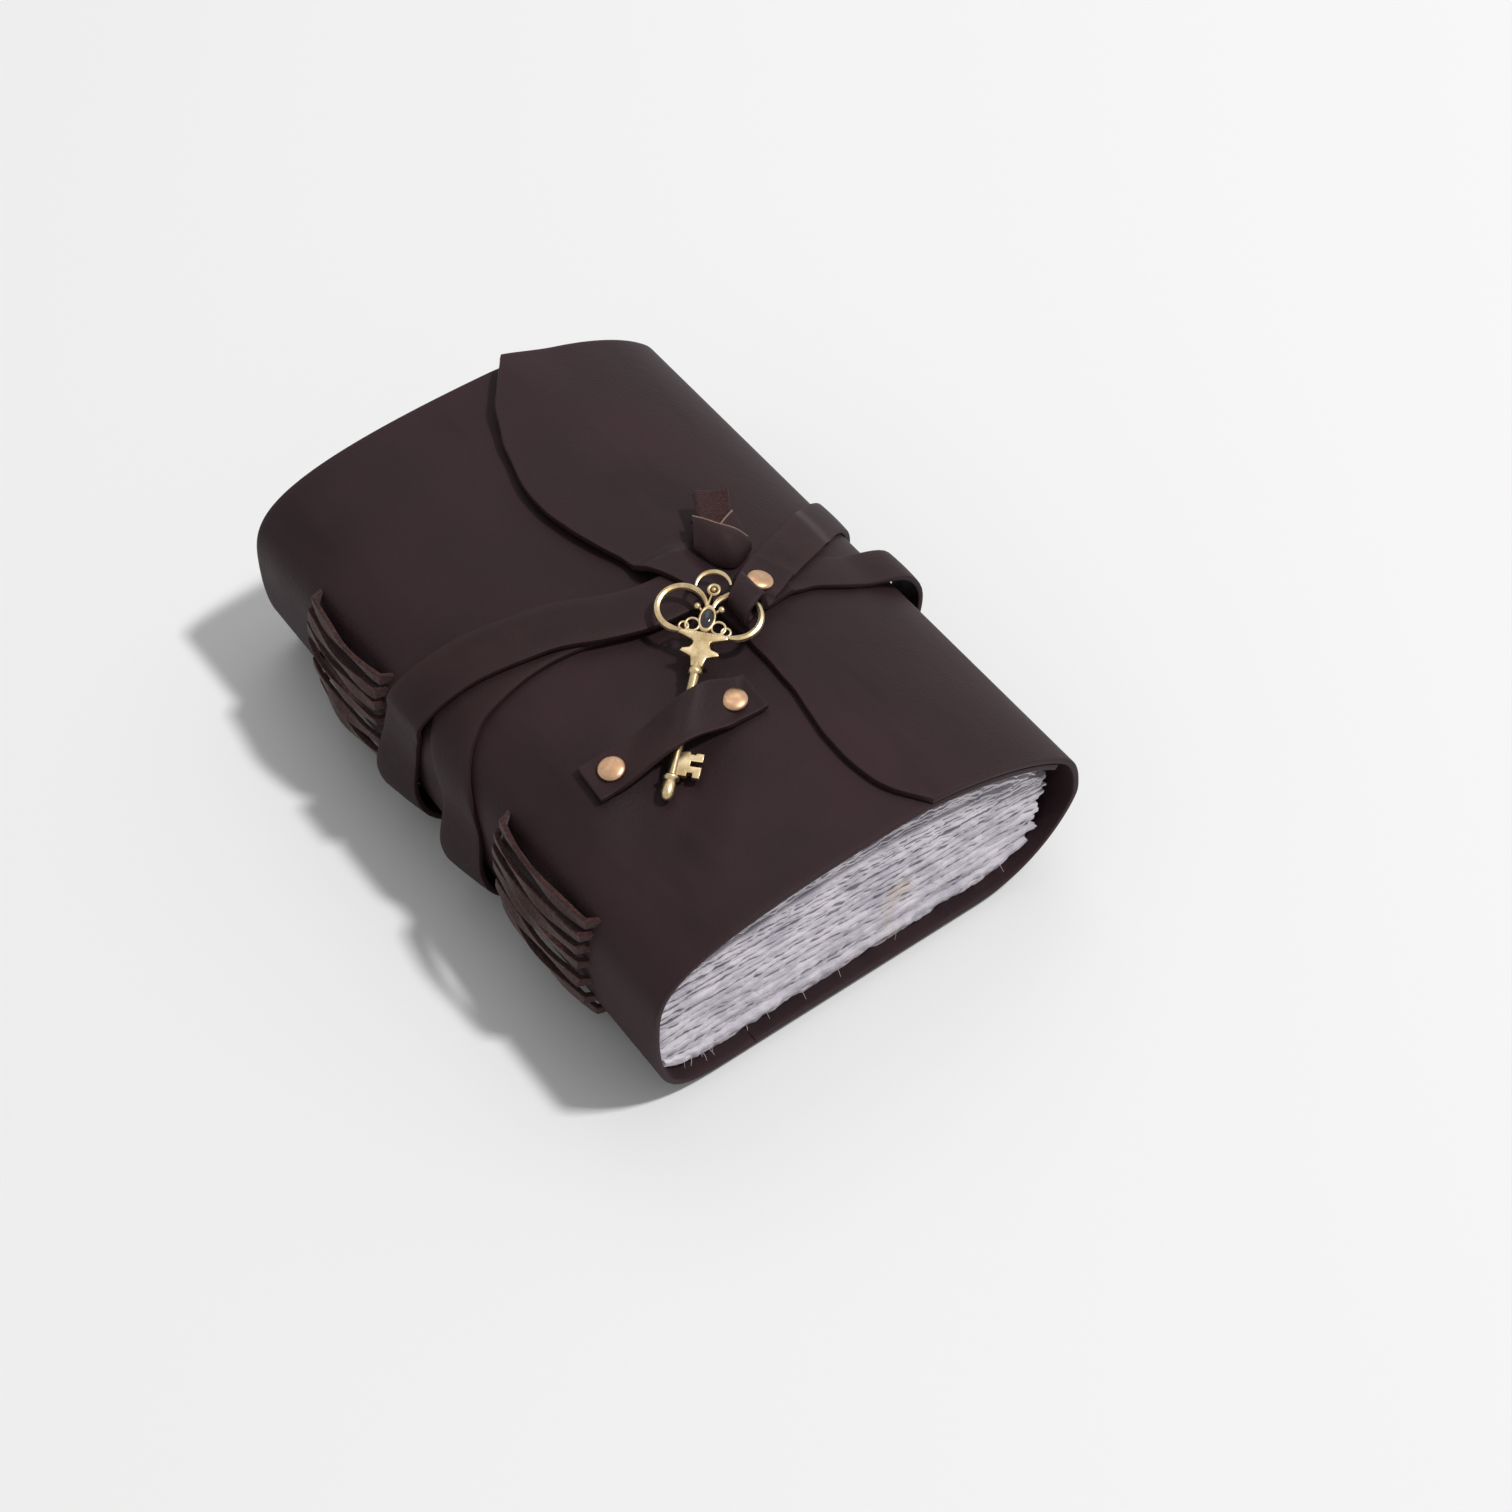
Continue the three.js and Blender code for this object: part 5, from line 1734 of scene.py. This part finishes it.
    def _loop_place(self) -> tuple[SmoothLine, SmoothLine, np.ndarray, np.ndarray]:
        """Lays out the bight from its upper leg, round the ring's wire, to its lower leg.

        Returns:
            The line of its middle, its width at each station, the plan point of the ring's
            centre and that of the wire under the bight.
        """
        rx, ry = self.rivet_spot
        rivet, ring = np.array(self.rivet_spot), np.array(key.plan(key.bow, -key.ring_spread))
        reach = float(np.linalg.norm(rivet - ring))
        towards = (rivet - ring) / reach
        cross = ring + key.ring * towards
        u, _ = key.along(cross[0], cross[1])
        wire_n = float(key.height(u)) - float(book.surface(book.top_arc(cross[:1]))[0][0, 1])
        base = float(self.cover.flap_outer(book.top_arc(np.array([rx])), np.array([ry]))[0])
        base += book.gap + self.flange
        lower = base + book.gap + 0.5 * book.strap
        upper = lower + book.strap + book.gap + self.cap_rise
        clear = key.wire + book.gap + book.strap / 2
        bend = clear * math.sqrt(0.5)
        fold = key.ring - clear - self.fold_past
        w = book.lap_width
        before, over, past, under = (self.fold_width + extra for extra in self.widen)

        def stop(r: float, n: float, wide: float) -> tuple:
            """Gives a station at a distance r from the ring's centre towards the rivet."""
            return (*(ring + r * towards), n, wide)

        step, share = self.fold_step, self.fold_share
        stations = [
            (rx + self.upper_end[0], ry + self.upper_end[1], upper + self.leg_rise, w),
            (rx, ry, upper, w),
            stop(reach - self.leg_start, upper + self.leg_rise, w - self.leg_narrow),
            stop(key.ring + bend, wire_n + bend, before),
            stop(key.ring, wire_n + clear, over),
            stop(fold + self.fold_run, wire_n + clear, past),
            stop(fold + step, wire_n + share * clear, self.fold_width),
            stop(fold, wire_n, self.fold_width),
            stop(fold + step, wire_n - share * clear, self.fold_width),
            stop(fold + self.fold_run, wire_n - clear, under),
            stop(key.ring + bend, wire_n - clear, before),
            (rx, ry + self.lower_shift, lower, w),
            (rx + self.lower_end[0], ry + self.lower_end[1], lower, w),
        ]
        points = [tuple(book.over(np.array([x]), np.array([y]), np.array([n]))[0]) for x, y, n, _ in stations]
        widths = [(float(i), station[3]) for i, station in enumerate(stations)]
        return SmoothLine(points), SmoothLine(widths), ring, cross

    def _loop(self) -> None:
        """Builds the bight that holds the key's ring, and its rivet."""
        middle, widths, ring, cross = self._loop_place()
        rx, ry = self.rivet_spot
        flat = float(self.cover.flap_outer(book.top_arc(np.array([rx])), np.array([ry]))[0])

        def place(u: np.ndarray, v: np.ndarray, h: float) -> np.ndarray:
            """Places the bight's outer face, leaning with the key near its ring.

            Args:
                u: Shares of the way along the bight.
                v: Shares of the way across it.
                h: Height over the face.

            Returns:
                One point for each pair.
            """
            p, way = middle.at(u), middle.heading(u)
            across = np.array([0.0, 1.0, 0.0]) - way * way[:, 1:2]
            across /= np.linalg.norm(across, axis=1)[:, None]
            normal = -np.cross(way, across)
            crown = self.loop_crown * (1 - (2 * v - 1) ** 2)
            p = p + across * ((v - 0.5) * widths.at(u)[:, 1])[:, None]
            p = p + normal * (0.5 * book.strap + crown + h)[:, None]
            x, y = p[:, 0] - book.shift, p[:, 1]
            lean = key.height(key.along(x, y)[0]) - key.height(key.along(cross[0], cross[1])[0])
            from_centre = np.hypot(x - ring[0], y - ring[1])
            p[:, 2] += lean * ease((key.ring + self.lean_run - from_centre) / self.lean_run)
            return p

        bight = paint(hide("key_bight_strap", 150, 10, place, book.strap, 0.3),
                      self.finishes.strap, self.finishes.flesh, self.finishes.edge)
        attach(bight, "front_cover")
        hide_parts("key_loop")
        cap_n = flat + book.gap + self.flange + 2 * book.strap + 4 * book.gap + self.cap_rise
        Rivet(self.finishes).cap("loop_rivet_dome", "loop_rivet_cap", "front_cover",
                                 stand(rx, ry, cap_n - self.cap_sunk, self.cap_tilt))
        paint(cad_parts["loop_rivet_post"], self.finishes.copper)

    def make(self) -> None:
        """Builds both turns and the bight."""
        self._band("strap_far_turn_band", "strap_far_turn", self.far, True, 0.0)
        self._band("strap_near_turn_band", "strap_near_turn", self.near, False, self.nose_slack)
        self._loop()
        LOG.info("straps: two turns and the key's bight")


@dataclass
class Knot:
    """The strap's end: a pouch of two wrapped flaps, open in a V, with a square tail in it.

    Places are x and y and a height over the flap's outer face, in millimetres.
    """

    finishes: Finishes
    cover: Cover
    thickness: float = 1.4
    # Radius of the pale wire along each flap's neck, a painted highlight.
    rim: float = 0.3
    over_neck: tuple = ((16.9, 11.3, 6.3), (18.4, 7.8, 7.4), (19.6, 4.8, 8.0), (23.4, 2.2, 6.8),
                        (26.6, 0.4, 4.4))
    over_foot: tuple = ((12.9, 3.9, 0.8), (14.6, -0.6, 0.6), (19.1, -5.0, 0.6), (23.4, -4.0, 0.8),
                        (27.0, -1.9, 1.6))
    under_neck: tuple = ((17.6, 3.2, 6.4), (19.8, 4.3, 7.0), (23.6, 6.6, 7.0), (27.4, 8.9, 6.3))
    under_foot: tuple = ((18.6, -3.6, 0.4), (22.4, -3.4, 0.4), (25.0, -2.6, 0.6), (26.9, -1.6, 1.0))
    back_neck: tuple = ((16.6, 10.6, 5.6), (21.0, 9.6, 5.4), (26.8, 8.4, 5.6))
    back_foot: tuple = ((17.2, 9.0, 0.4), (21.6, 7.6, 0.4), (26.6, 6.6, 0.4))
    tail_corners: tuple = ((15.6, 4.6, 5.6), (24.4, 4.2, 5.4), (21.4, 17.4, 8.6), (29.8, 15.1, 8.6))
    tail_thickness: float = 1.7
    tail_sag: float = 0.7
    tail_waver: float = 0.25

    def _spot(self, place: np.ndarray, h: float) -> np.ndarray:
        """Gives points from places, raised by h."""
        s = book.top_arc(place[:, 0])
        return book.point(s, place[:, 1], self.cover.flap_outer(s, place[:, 1]) + place[:, 2] + h)

    def _wrap(self, name: str, neck: tuple, foot: tuple, swell: float) -> bpy.types.Object:
        """Builds one flap of the pouch.

        Args:
            name: The piece's name.
            neck: Places along its free upper edge.
            foot: Places along its lower edge, on the cover.
            swell: How far its middle stands out, in millimetres.

        Returns:
            The flap, with a painted highlight along its neck: paler cut edges and a pale wire.
        """
        top, low = SmoothLine(neck), SmoothLine(foot)

        def place(u: np.ndarray, v: np.ndarray, h: float) -> np.ndarray:
            """Places the flap's outer face.

            Args:
                u: Shares of the way along its edges.
                v: Shares of the way from its foot to its neck.
                h: Height over the face.

            Returns:
                One point for each pair.
            """
            lower, upper = low.at(u), top.at(u)
            spots = np.empty_like(lower)
            spots[:, :2] = lerp(lower[:, :2], upper[:, :2], (v**1.25)[:, None])
            crown = swell * np.sin(np.pi * v) * (1 - (2 * u - 1) ** 4)
            spots[:, 2] = lerp(lower[:, 2], upper[:, 2], np.sin(np.pi * v / 2) ** 0.75) + crown
            return self._spot(spots, h)

        # The flaps' cut edges take the paler edge finish, and a pale wire runs half sunk along the neck: both
        # paint a highlight on the upturned edge.
        flap = paint(hide(name, 36, 26, place, self.thickness, 0.35),
                     self.finishes.strap, self.finishes.flesh, self.finishes.rim)
        path = place(np.linspace(0.01, 0.99, 60), np.ones(60), -0.12)
        rim = paint(wire(f"{name}_rim", path, np.full(60, self.rim), 8), self.finishes.rim)
        return join(name, [flap, rim])

    def _tail(self) -> bpy.types.Object:
        """Builds the square tail, flesh side up.

        Returns:
            The tail.
        """
        corners = np.array(self.tail_corners)

        def place(u: np.ndarray, v: np.ndarray, h: float) -> np.ndarray:
            """Places the tail's outer face.

            Args:
                u: Shares of the way across it.
                v: Shares of the way from the pouch to its free end.
                h: Height over the face.

            Returns:
                One point for each pair.
            """
            left = lerp(corners[0], corners[2], v[:, None])
            right = lerp(corners[1], corners[3], v[:, None])
            spots = lerp(left, right, u[:, None])
            spots[:, 2] -= self.tail_sag * (1 - (2 * u - 1) ** 2) * v
            spots[:, 1] += self.tail_waver * ease((v - 0.8) / 0.2) * np.sin(7 * u)
            return self._spot(spots, h)

        return hide("knot_tail", 16, 22, place, self.tail_thickness)

    def make(self) -> None:
        """Builds the knot's pieces and joins them."""
        f = self.finishes
        over = self._wrap("knot_over", self.over_neck, self.over_foot, 0.6)
        under = self._wrap("knot_under", self.under_neck, self.under_foot, 0.2)
        back = self._wrap("knot_back", self.back_neck, self.back_foot, 0.0)
        tail = self._tail()
        paint(tail, f.tail, f.strap, f.edge)
        knot = join("strap_knot_bud", [over, under, back, tail])
        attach(knot, "flap")
        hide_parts("strap_knot")
        LOG.info("knot")


# Key


@dataclass
class KeyPieces:
    """The cast key: shaft, bit, star, crown, rings and stone.

    Places are u and v of the key's own axes, and some have w or a radius after them.
    """

    finishes: Finishes
    profile: tuple = (
        (0, 0), (0.4, 0.05), (1.1, 0.5), (1.5, 1.3), (1.7, 2.4), (1.7, 4.2), (1.45, 5.2), (1.85, 5.6),
        (2.1, 5.9), (2.1, 6.3), (1.85, 6.6), (1.3, 6.9), (1.3, 34.4), (1.45, 34.6), (1.75, 35.0),
        (1.8, 35.6), (1.6, 36.2), (1.3, 37.0), (1.25, 37.6), (0.8, 38.6), (0, 38.6),
    )
    bit: tuple = (
        (7.1, -0.8), (7.1, -3.3), (8.2, -3.3), (8.2, -5.0), (7.0, -5.1), (7.0, -6.5), (9.6, -6.6),
        (9.5, -3.7), (11.3, -3.7), (11.4, -6.6), (13.2, -6.6), (13.2, -5.0), (12.7, -4.9),
        (12.7, -3.5), (13.4, -3.2), (13.0, -1.5), (12.2, -0.8),
    )
    star: tuple = (
        (37.0, 1.2), (38.5, 1.5), (39.5, 1.8), (40.1, 3.2), (40.5, 4.5), (40.9, 4.3), (41.4, 2.6),
        (42.4, 1.9), (43.6, 1.8), (44.3, 2.6), (45.0, 4.6), (45.4, 5.9), (46.0, 5.7),
    )
    hoops: tuple = ((48.1, 3.3, 1.75, 0.36), (47.3, 5.35, 1.15, 0.32))
    band_u: float = 45.75
    band_half: float = 5.7
    band_beads: int = 17
    band_bead: float = 0.36
    bezel: float = 0.36
    eyelet_u: float = 58.9
    hook_centre: tuple = (59.6, 0.3)
    hook: float = 4.4
    hook_wire: float = 0.7
    stalks: tuple = (
        (((53.0, -0.7, 0.1), (55.2, -1.0, 0.2), (57.3, -2.3, 0.1)), 0.45),
        (((53.2, 0.6, 0.1), (55.5, 0.5, 0.2), (57.5, 0.2, 0.1)), 0.35),
    )
    ball: tuple = (53.4, 3.1, 0.95)
    ball_stalk: float = 0.35
    stone_height: float = 1.15
    stone_w: float = 0.35
    bit_bevel: float = 0.22
    star_extra: float = 0.3
    star_bevel: float = 0.35
    hoop_w: float = 0.5
    bezel_w: float = 0.6
    bezel_clear: float = 0.15
    bead_w: float = 0.75
    ring_turn: tuple = (192, -82)
    hook_turn: tuple = (95, -72)
    eyelet: tuple = (1.35, 0.5)
    eyelet_bead: float = 0.75

    def _shaft(self) -> bpy.types.Object:
        """Builds the turned shaft with its ball, neck ring and collar."""
        piece = turned("key_shaft", self.profile, 32)
        return set_down(piece, Matrix.Rotation(math.pi / 2, 4, "Y"))

    def _bit(self) -> bpy.types.Object:
        """Builds the bit, cut with two slots like the teeth of a comb."""
        return cut_plate("key_bit", [self.bit], key.plate, self.bit_bevel)

    def _star(self) -> bpy.types.Object:
        """Builds the cross-piece with its two pointed arms."""
        outline = [*self.star, *[(x, -y) for x, y in reversed(self.star)]]
        return cut_plate("key_star", [outline], key.plate + self.star_extra, self.star_bevel)

    def _crown(self) -> list:
        """Builds the crown: a beaded band, small hoops and the stone's bezel.

        Returns:
            Its pieces.
        """
        pieces = []
        for side in (-1, 1):
            for u, v, radius, thick in self.hoops:
                pieces.append(self._hoop(u, side * v, radius, thick, self.hoop_w))
        bezel = self._hoop(key.gem_u, 0, key.gem[1] / 2 + self.bezel_clear, self.bezel, self.bezel_w)
        stretch = key.gem[0] / key.gem[1]
        bezel.data.transform(Matrix.Translation((-key.gem_u * MM, 0, 0)))
        bezel.data.transform(Matrix.Diagonal((stretch, 1, 1, 1)))
        bezel.data.transform(Matrix.Translation((key.gem_u * MM, 0, 0)))
        pieces.append(bezel)
        for v in np.linspace(-self.band_half, self.band_half, self.band_beads):
            pieces.append(self._bead(self.band_u, float(v), self.band_bead, self.bead_w))
        return pieces

    def _ring(self, side: int) -> bpy.types.Object:
        """Builds one of the bow's open rings, thinner at its ends.

        Args:
            side: 1 for the ring on the left of the key, -1 for the one on its right.

        Returns:
            The ring.
        """
        turn = np.radians(np.linspace(*self.ring_turn, 60))
        path = np.stack([key.bow + key.ring * np.cos(turn),
                         side * (key.ring_spread + key.ring * np.sin(turn)), 0 * turn], 1)
        size = key.wire * np.interp(np.linspace(0, 1, 60), (0, 0.1, 0.8, 1), (0.6, 1, 0.95, 0.5))
        return wire("key_ring", path, size, 14)

    def _hoop(self, u: float, v: float, radius: float, thick: float, w: float = 0.0) -> bpy.types.Object:
        """Builds a ring of round wire, flat in the key's plane.

        Args:
            u: Place of its centre along the key.
            v: Place of its centre across the key.
            radius: Radius of the wire's middle.
            thick: Radius of the wire.
            w: Height over the key's axis.

        Returns:
            The ring.
        """
        deselect_all()
        bpy.ops.mesh.primitive_torus_add(location=(u * MM, v * MM, w * MM), major_radius=radius * MM,
                                         minor_radius=thick * MM, major_segments=48, minor_segments=12)
        bpy.ops.object.transform_apply(location=True, rotation=True, scale=True)
        return bpy.context.object

    def _bead(self, u: float, v: float, radius: float, w: float = 0.0) -> bpy.types.Object:
        """Builds a small cast bead.

        Args:
            u: Place of its centre along the key.
            v: Place of its centre across the key.
            radius: Its radius.
            w: Height over the key's axis.

        Returns:
            The bead.
        """
        deselect_all()
        bpy.ops.mesh.primitive_uv_sphere_add(segments=14, ring_count=8, radius=radius * MM,
                                             location=(u * MM, v * MM, w * MM))
        bpy.ops.object.transform_apply(location=True, rotation=True, scale=True)
        return bpy.context.object

    def _curl(self) -> list:
        """Builds the open hook over the crown, its eyelet and the stalks with balls.

        Returns:
            Their pieces.
        """
        turn = np.radians(np.linspace(*self.hook_turn, 40))
        u, v = self.hook_centre
        path = np.stack([u + self.hook * np.cos(turn), v + self.hook * np.sin(turn), 0 * turn], 1)
        size = self.hook_wire * np.interp(np.linspace(0, 1, 40), (0, 0.3, 0.7, 1), (0.55, 1, 1, 0.5))
        pieces = [wire("key_hook", path, size, 12), self._hoop(self.eyelet_u, 0, *self.eyelet),
                  self._bead(self.eyelet_u, 0, self.eyelet_bead)]
        stems = list(self.stalks)
        u, v, radius = self.ball
        for side in (-1, 1):
            stations = ((u - 1.4, side * 1.5, 0.2), (u - 0.6, side * 2.2, 0.4), (u, side * 3.0, 0.4))
            stems.append((stations, self.ball_stalk))
            pieces.append(self._bead(u, side * v, radius, 0.4))
        for stations, thick in stems:
            line = SmoothLine(stations).at(np.linspace(0, 1, 10))
            pieces.append(wire("key_stem", line, np.full(10, thick), 8))
        return pieces

    def make(self) -> None:
        """Builds the key and sets it down on the cover."""
        rings = [self._ring(side) for side in (-1, 1)]
        pieces = [self._shaft(), self._bit(), self._star(), *self._crown(), *rings, *self._curl()]
        metal = join("key_casting", pieces)
        set_down(metal, key.matrix())
        paint(smooth(metal, 35), self.finishes.brass)
        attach(metal, "key")
        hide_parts("key")
        deselect_all()
        bpy.ops.mesh.primitive_uv_sphere_add(segments=32, ring_count=18, radius=MM)
        stone = bpy.context.object
        stone.name = "key_cabochon"
        half = (key.gem[0] / 2, key.gem[1] / 2, self.stone_height)
        stone.data.transform(Matrix.Diagonal((*half, 1)))
        stone.data.transform(Matrix.Translation((key.gem_u * MM, 0, self.stone_w * MM)))
        set_down(stone, key.matrix())
        paint(smooth(stone), self.finishes.stone)
        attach(stone, "key")
        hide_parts("key_stone")
        LOG.info("key with its stone")


# Stage


@dataclass
class Stage:
    """Floor, light and camera."""

    floor_size: float = 6.0
    floor_drop: float = 0.0001
    pale: str = "#f2f2f2"
    azimuth: float = -39.31
    elevation: float = 52.27
    roll: float = 3.06
    distance: float = 683.0
    target: tuple = (19.26, -19.2, 1.9)
    lens: float = 59.67
    room: float = 0.37

    def _floor(self) -> None:
        """Lays a pale floor under the book."""
        deselect_all()
        bpy.ops.mesh.primitive_plane_add(size=self.floor_size, location=(0, 0, -self.floor_drop))
        floor = bpy.context.object
        floor.name = "floor"
        material, _, shader = start_material("pale_paper_floor")
        shader.inputs["Base Color"].default_value = linear(self.pale)
        shader.inputs["Roughness"].default_value = 1.0
        shader.inputs["Specular IOR Level"].default_value = 0.0
        paint(floor, material)

    def _world(self) -> None:
        """Sets the even light of the room and the pale background."""
        world = bpy.data.worlds.new("studio")
        bpy.context.scene.world = world
        world.use_nodes = True
        tree = world.node_tree
        tree.nodes.clear()
        path = add_node(tree, "ShaderNodeLightPath")
        seen = add_node(tree, "ShaderNodeMath", {"operation": "MAXIMUM"}, {
            0: path.outputs["Is Camera Ray"], 1: path.outputs["Is Glossy Ray"]})
        seen = add_node(tree, "ShaderNodeMath", {"operation": "MAXIMUM"}, {
            0: seen.outputs[0], 1: path.outputs["Is Transmission Ray"]})
        room = add_node(tree, "ShaderNodeBackground", inputs={
            "Color": (1, 1, 1, 1), "Strength": self.room})
        shown = add_node(tree, "ShaderNodeBackground", inputs={
            "Color": linear(self.pale), "Strength": 1.0})
        mixed = add_node(tree, "ShaderNodeMixShader", inputs={
            0: seen.outputs[0], 1: room.outputs[0], 2: shown.outputs[0]})
        add_node(tree, "ShaderNodeOutputWorld", inputs={"Surface": mixed.outputs[0]})

    def _way(self, a: float, e: float) -> Vector:
        """Gives the direction out from the book at an azimuth and elevation in radians."""
        return Vector((math.sin(a) * math.cos(e), -math.cos(a) * math.cos(e), math.sin(e)))

    def _lamp(self, name: str, azimuth: float, elevation: float, distance: float, size: float,
              watts: float) -> None:
        """Adds a square soft lamp that looks at the book.

        Args:
            name: The lamp's name.
            azimuth: Where it stands, in degrees, as for the camera.
            elevation: How high it stands, in degrees.
            distance: In metres.
            size: Side of its face, in metres.
            watts: Its power.
        """
        a, e = math.radians(azimuth), math.radians(elevation)
        way = self._way(a, e)
        deselect_all()
        bpy.ops.object.light_add(type="AREA", location=way * distance)
        lamp = bpy.context.object
        lamp.name = name
        lamp.rotation_euler = way.to_track_quat("Z", "Y").to_euler()
        lamp.data.size = size
        lamp.data.energy = watts

    def _camera(self) -> None:
        """Stands the camera where the photograph was taken from."""
        a, e, r = (math.radians(x) for x in (self.azimuth, self.elevation, self.roll))
        back = self._way(a, e)
        flat = Vector((math.cos(a), math.sin(a), 0))
        up = back.cross(flat)
        right = flat * math.cos(r) + up * math.sin(r)
        matrix = Matrix((right, back.cross(right), back)).transposed().to_4x4()
        matrix.translation = (Vector(self.target) + back * self.distance) * MM
        data = bpy.data.cameras.new("camera")
        data.lens = self.lens
        data.sensor_width = 36.0
        data.clip_start, data.clip_end = 0.01, 50.0
        camera = bpy.data.objects.new("camera", data)
        camera.matrix_world = matrix
        bpy.context.scene.collection.objects.link(camera)
        bpy.context.scene.camera = camera

    def make(self) -> None:
        """Builds the stage."""
        self._floor()
        self._world()
        self._lamp("key_light", azimuth=51.0, elevation=62.0, distance=4.0, size=0.34, watts=99.0)
        self._lamp("soft_light", azimuth=150.0, elevation=60.0, distance=2.6, size=1.6, watts=7.0)
        self._camera()
        bpy.context.scene.view_settings.view_transform = "Standard"
        LOG.info("stage")


def main() -> None:
    """Builds the notebook and its stage."""
    logging.basicConfig(level=logging.INFO, format="%(name)s: %(message)s")
    Stage().make()
    finishes = Finishes()
    cover = Cover(finishes)
    cover.make()
    Pages(finishes).make()
    Stitches(finishes).make()
    Tab(finishes).make()
    Straps(finishes, cover).make()
    Knot(finishes, cover).make()
    KeyPieces(finishes).make()
    LOG.info("boxes written")


if __name__ == "__main__":
    main()
